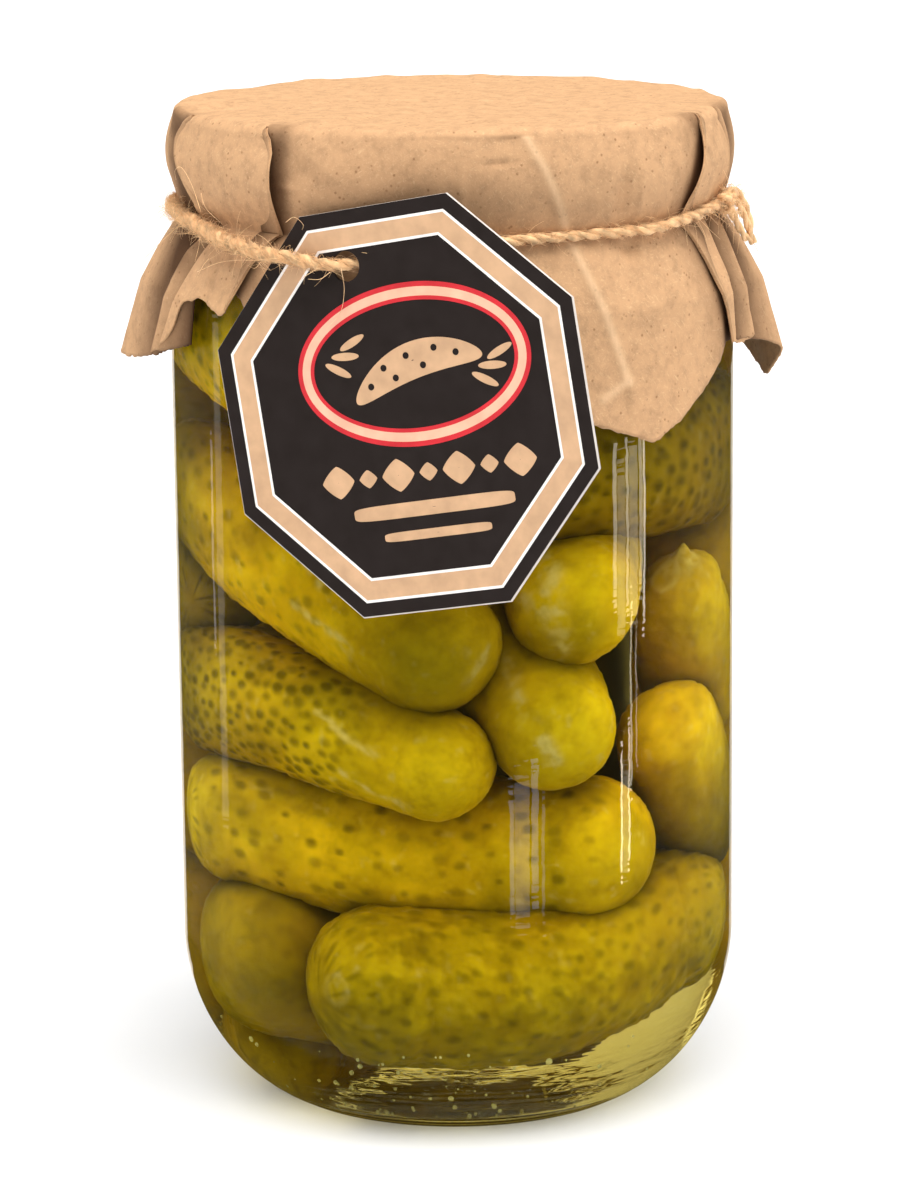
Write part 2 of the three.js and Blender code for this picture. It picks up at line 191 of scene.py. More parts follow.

# Kraft cover, control columns round the sheet. Each is the azimuth at the rim, at the
# twine and at the hem, how far the side and the hem stand out, the hem's height, the layer
# at the twine and how much painted shade it gets where it lies deep in a fold. Where the azimuth
# steps back the sheet is folded under itself.
COVER = [
    (-180, -180, -180, 0.3, 1.6, 128.0, 0, 0), (-165, -166, -164, -0.3, 3.0, 126.0, 0, 0),
    (-150, -150, -150, 0.5, 3.4, 120.5, 0, 0), (-138, -139, -137, 0.0, 4.0, 116.0, 0, 0),
    (-131, -132, -131, -0.3, 1.6, 117.0, 0, 0.9), (-126, -124, -121, -0.5, 1.2, 118.0, 0, 1),
    (-131, -134, -132, 0.9, 3.2, 117.5, 1, 0), (-114, -113, -112, 0.4, 2.6, 121.0, 0, 0),
    (-102, -101, -103, 0.3, 5.6, 120.5, 0, 0), (-93, -92, -95, 0.6, 7.9, 118.6, 0, 0),
    (-88, -87, -88, 0.3, 5.4, 118.8, 0, 0.05), (-80, -76, -77, -0.8, 1.6, 120.5, 0, 0.9),
    (-66, -55, -61, -1.7, 0.2, 124.0, 0, 1), (-75, -62.5, -70.5, 1.2, 4.8, 121.6, 1, 0),
    (-71, -61, -67, 0.7, 3.4, 123.2, 0, 0), (-66, -59, -63.5, 0.5, 2.4, 126.5, 0, 0),
    (-60, -57, -62, 0.4, 1.9, 130.2, 0, 0), (-52, -51, -55, 0.4, 1.6, 131.7, 0, 0),
    (-45, -45, -48.5, 0.6, 1.8, 129.6, 0, 0), (-36, -35.5, -46.5, 1.3, 1.6, 130.3, 1, 0),
    (-42, -43, -51, -0.7, -0.1, 133.0, 0, 1), (-35.4, -35, -46, -0.7, 0.0, 132.5, 0, 0.8),
    (-33, -33, -43.5, -0.4, 0.2, 130.6, 0, 0.06), (-28, -29, -40, -0.1, 0.2, 129.6, 0, 0),
    (-20, -20, -22, 0.2, 0.1, 128.5, 0, 0), (-5, -5, -5, 0.3, 0.1, 125.5, 0, 0),
    (8, 9, 10, 0.2, 0.2, 119.8, 0, 0), (18, 20, 24, 0.3, 0.5, 114.6, 0, 0),
    (28, 29, 34, 0.3, 0.8, 112.2, 0, 0), (36, 36, 41, 0.2, 1.1, 110.1, 0, 0),
    (44, 43, 50, 0.4, 1.0, 113.4, 0, 0), (52, 48, 58, 0.3, 0.8, 117.6, 0, 0),
    (58.6, 52.4, 64.8, -0.2, 0.7, 121.6, 0, 0.3), (61.5, 55.5, 67.5, -0.6, 0.5, 122.4, 0, 1),
    (66, 61, 73, -0.7, 0.5, 122.8, 0, 1), (60, 53.5, 66, 1.0, 1.8, 122.6, 1, 0),
    (67, 62, 70, 0.6, 2.2, 122.2, 0, 0), (75, 73, 74.5, 0.7, 3.6, 122.7, 1, 0),
    (69, 66, 67, -0.6, 1.4, 123.0, 0, 1), (79, 77, 77.5, -0.4, 2.4, 122.0, 0, 0.85),
    (84, 83, 82, 0.1, 4.8, 121.0, 0, 0.35), (89, 88, 87, 0.4, 7.0, 119.5, 0, 0),
    (96, 95, 97, 0.3, 5.2, 113.4, 0, 0.2), (106, 105, 107, 0.3, 3.6, 118.0, 0, 0),
    (118, 117, 120, 0.5, 2.6, 117.2, 0, 0), (132, 130, 135, -0.1, 3.6, 115.0, 0, 0.1),
    (140, 138, 143, -0.5, 1.6, 118.0, 0, 1), (136, 134, 140, 0.9, 3.2, 117.4, 1, 0),
    (152, 152, 155, 0.2, 2.0, 123.5, 0, 0), (166, 166, 168, 0.5, 2.4, 127.0, 0, 0),
]
RAISED_CREASE = [(14.5, 157.5), (18.4, 152.1), (24.0, 142.3), (29.1, 132.5), (34.9, 119.9)]
CREASE_END = [(34.9, 119.9), (29.5, 117.6)]

# Dents and soft ridges of the cover: azimuth, height, half width, half height and push, in mm
DENTS = [
    (36.2, 147.0, 1.4, 4.2, -0.95), (40.3, 146.6, 0.6, 4.2, 0.5), (38.0, 139.4, 1.7, 1.8, -0.75),
    (41.2, 138.8, 0.6, 2.6, 0.4), (9.5, 153.2, 2.4, 0.4, -0.4), (-30.0, 151.5, 3.2, 2.4, -0.35),
    (-34.0, 149.0, 1.6, 0.5, 0.35), (-8.0, 146.5, 2.6, 3.0, -0.4), (49.0, 150.5, 1.2, 3.4, -0.4),
    (27.0, 150.0, 3.0, 2.0, -0.3), (2.0, 149.0, 0.7, 4.0, 0.3), (-56.0, 149.0, 3.0, 2.0, -0.35),
    (-64.0, 139.6, 2.2, 1.4, -1.1), (-47.0, 136.5, 2.6, 1.2, 0.4), (-54.0, 134.0, 0.7, 3.0, 0.35),
    (66.0, 136.0, 2.0, 3.0, -0.4), (47.0, 127.0, 4.0, 4.0, -0.5), (30.0, 124.0, 3.0, 3.0, 0.3),
]

# Painted shade in the dark opening of the fold under the twine: azimuth, height, half width and half height
GAP_UNDER_TWINE = (-68.0, 136.6, 3.4, 2.4)

# Painted shade where the paper turns under below the rim and behind the tag's hole: azimuth, height, half
# width, half height and how dark
TURNED_UNDER = [
    (-21.5, 139.6, 3, 3, 0.8), (-10, 148.0, 17, 6.5, 0.28), (31, 145.5, 8, 3.6, 0.14),
    (-52, 134.5, 4, 3, 0.1), (50, 145.5, 4, 3.5, 0.12),
]

# Twine route, as in the source, with the rise to the knot that the photo shows
TWINE_ROUTE = [
    (-19.6, 46, 138.6), (-17.6, 45, 138.7), (-14.4, 44.9, 139.2), (-8, 43.8, 140.3), (11, 43.3, 141.8),
    (40, 43.2, 141.9), (56, 43.3, 142.6), (70, 43.6, 143.6), (90, 43.4, 143), (115, 43.2, 142),
    (145, 43.2, 142), (180, 43.2, 142), (-145, 43.2, 142), (-115, 43.2, 142.3), (-90, 43.2, 142.8),
    (-70, 43.5, 142.6), (-54, 44.6, 141.4), (-42, 46.3, 140.3), (-33, 47.3, 139.5), (-24.4, 47.2, 138.9),
    (-21.6, 46.95, 138.7),
]
KNOT_AT = (71, 44.6, 143.9)

# The loop and the tail that hang from the knot, and the longest loose fibres of the photo,
# as azimuth, distance from the axis and height
TWINE_LOOPS = [
    [(71.5, 44.4, 143.9), (73.3, 44.6, 145.4), (75.9, 45.4, 144.7), (78.6, 46.4, 141.8),
     (79.3, 46.9, 139.0), (78.6, 46.6, 137.4), (77.3, 46.0, 138.2), (75.2, 45.2, 140.4),
     (72.5, 44.6, 142.9)],
    [(71.6, 44.6, 143.2), (73.7, 45.3, 143.7), (76.1, 45.9, 142.0), (78.2, 46.6, 139.6),
     (79.2, 47.4, 136.6)],
]
LONG_FIBRES = [
    [(-57.8, 44.5, 144.2), (-60.0, 45.0, 148.0), (-63.9, 45.2, 150.4), (-69.3, 44.8, 149.6),
     (-71.4, 44.2, 147.9)],
    [(-56.7, 44.6, 145.3), (-56.5, 45.0, 147.2), (-54.8, 45.0, 145.0), (-48.9, 45.4, 143.1)],
    [(-56.8, 45.0, 142.2), (-56.6, 45.5, 139.3), (-56.1, 46.5, 136.9)],
    [(-77.8, 42.6, 140.5), (-78.7, 46.1, 137.3), (-78.3, 49.3, 134.2), (-78.9, 51.8, 130.9)],
    [(-77.9, 43.0, 141.7), (-77.1, 44.9, 143.0), (-77.5, 46.1, 143.4)],
    [(-77.9, 43.0, 141.1), (-77.0, 44.4, 141.4), (-77.2, 45.1, 141.9)],
    [(-31.6, 46.4, 144.5), (-29.0, 47.5, 145.5), (-27.0, 47.8, 144.6), (-27.2, 47.8, 143.7)],
    [(-19.4, 48.6, 138.5), (-18.6, 49.2, 135.4), (-19.3, 49.5, 132.0), (-21.9, 49.8, 129.5)],
    [(-23.5, 49.0, 138.4), (-25.4, 49.6, 137.3), (-27.0, 49.6, 136.3)],
    [(-21.2, 49.0, 137.9), (-22.8, 49.6, 136.9), (-25.1, 49.6, 136.8)],
    [(-55.2, 46.6, 135.5), (-48.1, 46.4, 137.5), (-40.7, 46.6, 138.4), (-33.6, 47.2, 138.6)],
    [(-52.5, 45.8, 137.7), (-53.5, 46.4, 136.5), (-54.5, 47.0, 134.7)],
    [(-37.0, 46.8, 138.3), (-38.1, 47.1, 137.4), (-39.5, 47.1, 137.6)],
    [(80.1, 46.5, 137.8), (80.3, 47.7, 135.9), (80.5, 48.6, 133.6)],
    [(77.1, 44.8, 144.2), (77.4, 45.8, 145.0), (77.6, 46.6, 146.4)],
]

# Card tag, as in the source, and how thick each print is drawn
TAG_CENTRE = (-6.85, -48.65, 118.2)
TAG_TURNS = (-28, -2.5, 11)
TAG_ACROSS = 60
TAG_THICK = 0.5
TAG_HOLE = (-6.0, 21.8)
TAG_HOLE_R = 2.25
PRINT_THICK = 0.03

# Glass, as in the source: how round the heel is, the shoulder's two heights, the neck's wall,
# the rim's bead with the height of its centre, the radius of the flat inside the base and the
# number of points across it
HEEL_POWER = 1.84
SHOULDER = (130.5, 141.5)
NECK_WALL = 2.8
RIM_BEAD = 1.4
RIM_CENTRE = 154.8
CAVITY_FLAT = 21.4
CENTRE_POINTS = 8

# Shallow rings that the mould leaves: how deep, the sine's radians for each millimetre of
# height, and the height at which they have faded
MOULD_RING = 0.16
MOULD_RING_TURN = 6.0
MOULD_RING_TOP = 4.5

# How many bubbles cling to the heel
BUBBLES = 150

# Millimetres along the paper's side for one degree round the jar, and the way up
MM_PER_DEGREE = 0.77
UP = np.array([0, 0, 1.0])

# Strip lights that the glass mirrors: azimuth, low end, high end, width, how bright and tint
LIGHT_DISTANCE = 204
AMBER, GOLD, BLUE = (1, 0.9, 0.66), (1, 0.86, 0.6), (0.75, 0.82, 1)
CREAM, WARM = (1, 0.9, 0.7), (1, 0.93, 0.85)
STRIP_LIGHTS = {
    "band_right_1": (61.2, 56, 90, 6, 6.0, AMBER),
    "band_right_2": (64.0, 50, 84, 12, 2.6, AMBER),
    "band_right_3": (66.6, 54, 94, 4, 6.5, AMBER),
    "band_right_4": (69.4, 52, 88, 14, 3.2, AMBER),
    "band_right_5": (72.8, 57, 96, 6, 5.0, AMBER),
    "band_right_6": (74.6, 49, 92, 4, 10.0, AMBER),
    "line_right_1": (68.4, 16, 56, 3, 7.0, AMBER),
    "line_right_2": (70.9, 20, 50, 2, 5.0, AMBER),
    "gold_right_1": (63.9, -4, 26, 3, 14.0, GOLD),
    "gold_right_2": (67.3, -2, 30, 3, 12.0, GOLD),
    "gold_right_3": (65.6, -3, 20, 9, 2.6, GOLD),
    "band_middle_1": (19.6, -6, 20, 6, 2.4, BLUE),
    "band_middle_2": (23.6, -9, 23, 20, 1.5, BLUE),
    "band_middle_3": (28.4, -4, 26, 9, 2.2, BLUE),
    "band_middle_4": (31.6, -8, 18, 4, 1.4, BLUE),
    "band_left": (-101, 4, 110, 15, 0.9, CREAM),
    "line_left": (-106, 40, 84, 5, 1.8, CREAM),
    "edge_left": (-163, -50, 100, 100, 1.0, WARM),
    "edge_right": (163, -50, 100, 100, 0.7, WARM),
}

# Wide suns: azimuth, elevation, strength and how wide they are in degrees
SKY_LIGHTS = {
    "overhead": (10, 74, 4.2, 45),
    "side_right": (62, 28, 0.6, 55),
    "side_left": (-72, 28, 0.7, 55),
    "low_right": (112, 16, 0.7, 26),
    "low_left": (-120, 16, 0.35, 26),
}

# Half the width of the floor
FLOOR_HALF = 12000.0

# Camera, fitted to the photo: where it aims, its distance, angles, focal length and shift
AIM = (0, 0, 85)
CAMERA_DISTANCE = 700
CAMERA_ELEVATION = 11.725
CAMERA_ROLL = 0.574
FOCAL_MM = 132.46
CAMERA_SHIFT = (-0.0038, -0.0315)


# Numpy surfaces

def polar(azimuth, distance, height):
    """A point by its azimuth from the front, distance from the axis and height."""
    a = np.radians(azimuth)
    return np.stack(np.broadcast_arrays(distance * np.sin(a), -distance * np.cos(a), height), -1)


def lattice_noise(points, cell, seed):
    """Smooth noise from -1 to 1: random values on a cubic lattice, blended by a smooth step."""
    p = points / cell
    low = np.floor(p).astype(np.int64)
    f = p - low
    f = f * f * (3 - 2 * f)
    total = np.zeros(p.shape[:-1])
    for corner in range(8):
        step = np.array([corner & 1, corner >> 1 & 1, corner >> 2 & 1])
        c = low + step
        h = (c[..., 0] * 73856093) ^ (c[..., 1] * 19349663) ^ (c[..., 2] * 83492791) ^ (seed * 2654435)
        h = (h ^ (h >> 13)) * 1274126177 & 0xFFFFFFFF
        h = (h ^ (h >> 16)) & 0xFFFF
        weight = np.prod(np.where(step == 1, f, 1 - f), axis=-1)
        total += weight * (h / 32767.5 - 1)
    return total


def rough_noise(points, cell, seed, octaves=3):
    """Lattice noise summed over octaves, each half the size and half the height of the last."""
    return sum(lattice_noise(points, cell / 2 ** k, seed + 17 * k) / 2 ** k for k in range(octaves))


def grid_quads(rows, cols, wrap_rows=False, wrap_cols=False):
    """Corner indices of the quads of a rows by cols grid of points, closed where asked."""
    i = np.arange(rows if wrap_rows else rows - 1)[:, None]
    j = np.arange(cols if wrap_cols else cols - 1)[None, :]
    i2 = (i + 1) % rows
    j2 = (j + 1) % cols
    return np.stack([i * cols + j, i * cols + j2, i2 * cols + j2, i2 * cols + j], -1).reshape(-1, 4)


def make_mesh(name, points, faces, materials, smooth=True, values=None, uv=None, slots=None):
    """One mesh object from millimetre points and an array of quads or a list of faces.
    values holds named numbers or colours for each point, uv a pair for each point."""
    mesh = bpy.data.meshes.new(name)
    points = np.asarray(points, float).reshape(-1, 3) * MM
    if isinstance(faces, np.ndarray) and faces.shape[1] == 4:
        mesh.vertices.add(len(points))
        mesh.vertices.foreach_set("co", points.ravel())
        mesh.loops.add(faces.size)
        mesh.loops.foreach_set("vertex_index", faces.ravel())
        mesh.polygons.add(len(faces))
        mesh.polygons.foreach_set("loop_start", np.arange(0, faces.size, 4))
        mesh.update(calc_edges=True)
    else:
        mesh.from_pydata(points.tolist(), [], [list(map(int, f)) for f in faces])
    mesh.validate()
    mesh.polygons.foreach_set("use_smooth", np.full(len(mesh.polygons), smooth))
    for material in materials:
        mesh.materials.append(material)
    if slots is not None:
        mesh.polygons.foreach_set("material_index", np.asarray(slots, dtype=np.int32))
    for key, data in (values or {}).items():
        data = np.asarray(data, float)
        if data.ndim == 1:
            mesh.attributes.new(key, "FLOAT", "POINT").data.foreach_set("value", data)
        else:
            full = np.concatenate([data, np.ones((len(data), 1))], 1)
            mesh.attributes.new(key, "FLOAT_COLOR", "POINT").data.foreach_set("color", full.ravel())
    if uv is not None:
        corner = np.empty(len(mesh.loops), dtype=np.int32)
        mesh.loops.foreach_get("vertex_index", corner)
        mesh.uv_layers.new(name="UVMap").data.foreach_set("uv", np.asarray(uv, float)[corner].ravel())
    piece = bpy.data.objects.new(name, mesh)
    bpy.context.scene.collection.objects.link(piece)
    return piece


def close_poles(points, quads, rows, cols):
    """Adds a pole point at each end of a wrapped grid whose first and last rows are small rings."""
    first = points.reshape(rows, cols, 3)[0].mean(0)
    last = points.reshape(rows, cols, 3)[-1].mean(0)
    count = rows * cols
    full = np.concatenate([points.reshape(-1, 3), [first, last]])
    j = np.arange(cols)
    k = (j + 1) % cols
    start = np.stack([np.full(cols, count), k, j], -1)
    end = np.stack([np.full(cols, count + 1), (rows - 1) * cols + j, (rows - 1) * cols + k], -1)
    return full, [*quads.tolist(), *start.tolist(), *end.tolist()]


def turned(profile, columns):
    """A profile of distance and height spun round the axis, with poles where it meets the axis."""
    profile = np.asarray(profile, float)
    angle = np.linspace(0, 2 * np.pi, columns, endpoint=False)
    ring = np.stack([np.cos(angle), np.sin(angle)], -1)
    inner = profile[1:-1]
    points = np.concatenate([inner[:, None, :1] * ring[None], np.broadcast_to(
        inner[:, None, 1:], (len(inner), columns, 1))], -1)
    quads = grid_quads(len(inner), columns, wrap_cols=True)
    full, faces = close_poles(points, quads, len(inner), columns)
    full[-2] = (0, 0, profile[0, 1])
    full[-1] = (0, 0, profile[-1, 1])
    return full, faces


def smooth_step(t):
    """From 0 to 1 with level ends: three times the square less twice the cube."""
    return t * t * (3 - 2 * t)


def frames(path, upright, closed):
    """Two directions square to a path at each point: one close to upright, the other across it."""
    ahead = np.roll(path, -1, 0) - np.roll(path, 1, 0) if closed else np.gradient(path, axis=0)
    ahead /= np.linalg.norm(ahead, axis=1, keepdims=True)
    up = upright - ahead * (ahead @ upright)[:, None]
    up /= np.linalg.norm(up, axis=1, keepdims=True)
    return up, np.cross(ahead, up)


def swept(path, radius, sides, upright, twist, closed):
    """A tube along a path: each section is a circle with seven shallow lobes that turn as it goes."""
    up, across = frames(path, upright, closed)
    n = len(path)
    phi = np.linspace(0, 2 * np.pi, sides, endpoint=False)
    lobed = 1 + 0.1 * np.cos(7 * phi[None] + twist * np.arange(n)[:, None])
    rough = 1 + 0.14 * rough_noise(path, 0.9, 14, 2)
    r = (radius * rough)[:, None] * lobed
    return path[:, None] + (r * np.cos(phi))[..., None] * up[:, None] + \
        (r * np.sin(phi))[..., None] * across[:, None]


def spline(p0, p1, p2, p3, f):
    """A Catmull-Rom spline between the two middle points of four, at a fraction of the way."""
    return 0.5 * (2 * p1 + (p2 - p0) * f + (2 * p0 - 5 * p1 + 4 * p2 - p3) * f ** 2
                  + (3 * p1 - p0 - 3 * p2 + p3) * f ** 3)


def closed_curve(control, count):
    """A smooth closed curve through control points, evenly spaced."""
    control = np.asarray(control, float)
    t = np.linspace(0, len(control), count * 4, endpoint=False)
    i = np.floor(t).astype(int)
    f = (t - i)[:, None]
    curve = spline(*(control[(i + k) % len(control)] for k in (-1, 0, 1, 2)), f)
    return even_spacing(np.concatenate([curve, curve[:1]]), count + 1)[:-1]


def open_curve(control, count):
    """A smooth open curve through control points, its ends carried on straight, evenly spaced."""
    control = np.asarray(control, float)
    c = np.concatenate([[2 * control[0] - control[1]], control, [2 * control[-1] - control[-2]]])
    t = np.linspace(0, len(control) - 1, count * 4)
    i = np.minimum(np.floor(t).astype(int), len(control) - 2)
    f = (t - i)[:, None]
    return even_spacing(spline(*(c[i + k] for k in range(4)), f), count)


def even_spacing(curve, count):
    """The same curve with its points at equal distances."""
    run = np.concatenate([[0], np.cumsum(np.linalg.norm(np.diff(curve, axis=0), axis=1))])
    at = np.linspace(0, run[-1], count)
    return np.stack([np.interp(at, run, curve[:, k]) for k in range(3)], -1)


# Materials

def cell(size):
    """Texture scale for cells this many millimetres across."""
    return 1 / (size * MM)


def tinted(value, factor):
    """A colour made lighter or darker."""
    return tuple(min(1.0, c * factor) for c in value[:3]) + (1.0,)


def add_node(owner, kind, settings=None, links=None, stops=()):
    """Adds a node, sets its properties and sockets, links its sockets to other nodes' outputs,
    and gives a colour ramp its stops, each a place with a colour or a grey."""
    tree = owner.node_tree
    new = tree.nodes.new(kind)
    for key, value in (settings or {}).items():
        if isinstance(key, str) and hasattr(new, key):
            setattr(new, key, value)
        else:
            new.inputs[key].default_value = value
    if stops:
        places = new.color_ramp.elements
        places[0].position = stops[0][0]
        places[1].position = stops[-1][0]
        for place, _ in stops[1:-1]:
            places.new(place)
        for element, (_, value) in zip(places, stops):
            element.color = value if isinstance(value, tuple) else (value, value, value, 1)
    for key, source in (links or {}).items():
        node, output = source if isinstance(source, tuple) else (source, 0)
        tree.links.new(node.outputs[output], new.inputs[key])
    return new


def new_material(name):
    """An empty material, and the link that gives a texture the object's own coordinates."""
    material = bpy.data.materials.new(name)
    material.use_nodes = True
    material.node_tree.nodes.clear()
    return material, {"Vector": (add_node(material, "ShaderNodeTexCoord"), "Object")}


def close_material(material, shader, volume=None):
    """Links the shader, and the volume where there is one, to the material's output."""
    links = {"Surface": shader}
    if volume is not None:
        links["Volume"] = volume
    add_node(material, "ShaderNodeOutputMaterial", links=links)
    return material


def lit_through(material, shader):
    """Glass and brine let the lamps' light straight through, so what is inside is lit."""
    clear = add_node(material, "ShaderNodeBsdfTransparent")
    path = add_node(material, "ShaderNodeLightPath")
    choice = {0: (path, "Is Shadow Ray"), 1: shader, 2: clear}
    return add_node(material, "ShaderNodeMixShader", links=choice)


def container_glass(name, mirrored):
    """Soda-lime container glass, blown in a mould: clear, faintly green, with slow waves in its
    surface. Where brine lies against it, it hardly mirrors."""
    m, place = new_material(name)
    wave = add_node(m, "ShaderNodeTexNoise", {"Scale": cell(12), "Detail": 2.5}, place)
    flat = add_node(m, "ShaderNodeMapping", {"vector_type": "TEXTURE", "Scale": (9 * MM, 9 * MM, 1.4 * MM)},
                    place)
    ripple = add_node(m, "ShaderNodeTexNoise", {"Scale": 1.0, "Detail": 1.5}, {"Vector": flat})
    height = add_node(m, "ShaderNodeMath", {"operation": "MULTIPLY_ADD", 1: 0.42}, {0: ripple, 2: wave})
    bump = add_node(m, "ShaderNodeBump", {"Strength": 0.16, "Distance": 0.4 * MM}, {"Height": height})
    glass = add_node(m, "ShaderNodeBsdfPrincipled", {
        "Base Color": colour("glass"), "Roughness": 0.0, "IOR": 1.5, "Transmission Weight": 1.0,
        "Specular Tint": (mirrored, mirrored, mirrored, 1)}, {"Normal": bump})
    return close_material(m, lit_through(m, glass))


def pickle_brine():
    """Vinegar brine: clear and thin, its yellow green only seen where it is deep. Its surface
    lies in the glass, so it only bends light and mirrors none."""
    m, _ = new_material("vinegar_brine_clear")
    water = add_node(m, "ShaderNodeBsdfPrincipled", {
        "Base Color": (1, 1, 1, 1), "Roughness": 0.0, "IOR": 1.34, "Transmission Weight": 1.0,
        "Specular Tint": (0, 0, 0, 1)})
    depth = add_node(m, "ShaderNodeVolumeAbsorption", {"Color": colour("brine"), "Density": 45.0})
    return close_material(m, lit_through(m, water), depth)


def air_bubble():
    """Small air bubbles that cling to the glass in the brine: bright, thin and clear."""
    m, _ = new_material("air_bubble_clear")
    shell = add_node(m, "ShaderNodeBsdfPrincipled", {
        "Base Color": linear("#F6EFA8"), "Roughness": 0.05, "IOR": 1.2, "Transmission Weight": 0.7})
    return close_material(m, lit_through(m, shell))


def gherkin_skin():
    """Pickled cucumber skin, which mirrors almost nothing in the brine: the painted olive, with painted
    shade where gherkins meet and along each one, a fine cloudiness, pores and a glow where light goes
    through the flesh."""
    m, place = new_material("gherkin_skin_pickled")
    # The skin attribute holds the skin's colour with painted shade in it: where gherkins meet, along each
    # one and in its tone
    base = add_node(m, "ShaderNodeAttribute", {"attribute_name": "skin"})
    mottle = add_node(m, "ShaderNodeTexNoise", {"Scale": cell(3.2), "Detail": 6.0, "Roughness": 0.68},
                      place)
    light = add_node(m, "ShaderNodeValToRGB", links={0: mottle}, stops=[
        (0.28, (0.62, 0.6, 0.4, 1)), (0.5, (1, 1, 1, 1)), (0.74, (1.22, 1.26, 1.7, 1))])
    mixed = add_node(m, "ShaderNodeMix", {"data_type": "RGBA", "blend_type": "MULTIPLY", 0: 0.8},
                     {6: base, 7: light})
    pores = add_node(m, "ShaderNodeTexNoise", {"Scale": cell(1.1), "Detail": 3.0}, place)
    bump = add_node(m, "ShaderNodeBump", {"Strength": 0.34, "Distance": 0.25 * MM}, {"Height": pores})
    skin = add_node(m, "ShaderNodeBsdfPrincipled", {
        "Roughness": 0.36, "IOR": 1.45, "Specular IOR Level": 0.01,
        "Subsurface Weight": 0.12, "Subsurface Scale": 1.0,
        "Subsurface Radius": (1.5 * MM, 1.2 * MM, 0.3 * MM)},
        {"Base Color": (mixed, 2), "Normal": bump})
    return close_material(m, skin)


def gherkin_core():
    """Gherkins too deep in the heap to see singly: the same skin, much darker with painted shade."""
    m, place = new_material("gherkin_heap_shade")
    lump = add_node(m, "ShaderNodeTexNoise", {"Scale": cell(20), "Detail": 3.0}, place)
    tone = add_node(m, "ShaderNodeValToRGB", links={0: lump}, stops=[
        (0.35, linear("#151104")), (0.65, linear("#352B06"))])
    skin = add_node(m, "ShaderNodeBsdfPrincipled", {"Roughness": 0.5}, {"Base Color": tone})
    return close_material(m, skin)


def kraft_paper():
    """Unbleached kraft paper, machine glazed: matte brown with clouds, fine pale fibres lying every
    way, dark bark specks, creases worn pale and painted shade in the folds. Fibres are drawn a little
    coarse."""
    m, place = new_material("kraft_paper_unbleached")
    sheet = colour("paper")
    cloud = add_node(m, "ShaderNodeTexNoise", {"Scale": cell(2.4), "Detail": 6.0, "Roughness": 0.7}, place)
    tone = add_node(m, "ShaderNodeValToRGB", links={0: cloud}, stops=[
        (0.28, tinted(sheet, 0.75)), (0.5, sheet), (0.75, tinted(sheet, 1.14))])
    fleck = add_node(m, "ShaderNodeTexVoronoi", {"Scale": cell(1.1)}, place)
    rare = add_node(m, "ShaderNodeTexNoise", {"Scale": cell(1.9), "Detail": 2.0}, place)
    speck = add_node(m, "ShaderNodeValToRGB", links={0: (fleck, "Distance")},
                     stops=[(0.1, 1.0), (0.26, 0.0)])
    few = add_node(m, "ShaderNodeValToRGB", links={0: rare}, stops=[(0.5, 0.0), (0.58, 1.0)])
    chosen = add_node(m, "ShaderNodeMath", {"operation": "MULTIPLY"}, {0: speck, 1: few})
    weak = add_node(m, "ShaderNodeMath", {"operation": "MULTIPLY", 1: 0.55}, {0: chosen})
    dark = add_node(m, "ShaderNodeMix", {"data_type": "RGBA", 7: linear("#6E4322")}, {0: weak, 6: tone})
    fibres = None
    for lean in ((0.3, 0.9, 0), (0.2, -0.7, 0.5), (0, 1.6, 1.0)):
        stretch = add_node(m, "ShaderNodeMapping", {
            "vector_type": "TEXTURE", "Scale": (0.3 * MM, 0.3 * MM, 1.8 * MM), "Rotation": lean}, place)
        fibre = add_node(m, "ShaderNodeTexNoise", {"Scale": 1.0, "Detail": 2.0, "Distortion": 0.6},
                         {"Vector": stretch})
        fibres = fibre if fibres is None else add_node(m, "ShaderNodeMath", {"operation": "MAXIMUM"},
                                                      {0: fibres, 1: fibre})
    streak = add_node(m, "ShaderNodeValToRGB", links={0: fibres}, stops=[(0.62, 0.0), (0.76, 1.0)])
    faint = add_node(m, "ShaderNodeMath", {"operation": "MULTIPLY", 1: 0.3}, {0: streak})
    pale = add_node(m, "ShaderNodeMix", {"data_type": "RGBA", 7: linear("#F0CDA0")},
                    {0: faint, 6: (dark, 2)})
    worn = add_node(m, "ShaderNodeAttribute", {"attribute_name": "crease_wear"})
    rubbed = add_node(m, "ShaderNodeMath", {"operation": "MULTIPLY", 1: 0.55}, {0: (worn, "Fac")})
    crease = add_node(m, "ShaderNodeMix", {"data_type": "RGBA", 7: linear("#F4CDA2")},
                      {0: rubbed, 6: (pale, 2)})
    # Painted shade in the folds: the fold_shade attribute darkens the colour towards a deep brown
    fold = add_node(m, "ShaderNodeAttribute", {"attribute_name": "fold_shade"})
    deep = add_node(m, "ShaderNodeMath", {"operation": "MULTIPLY", 1: 0.9}, {0: (fold, "Fac")})
    paper = add_node(m, "ShaderNodeMix", {"data_type": "RGBA", 7: linear("#3E2210")},
                     {0: deep, 6: (crease, 2)})
    height = add_node(m, "ShaderNodeMath", {"operation": "ADD"}, {0: cloud, 1: fibres})
    bump = add_node(m, "ShaderNodeBump", {"Strength": 0.4, "Distance": 0.12 * MM}, {"Height": height})
    skin = add_node(m, "ShaderNodeBsdfPrincipled", {
        "Roughness": 0.8, "Specular IOR Level": 0.2}, {"Base Color": (paper, 2), "Normal": bump})
    return close_material(m, skin)


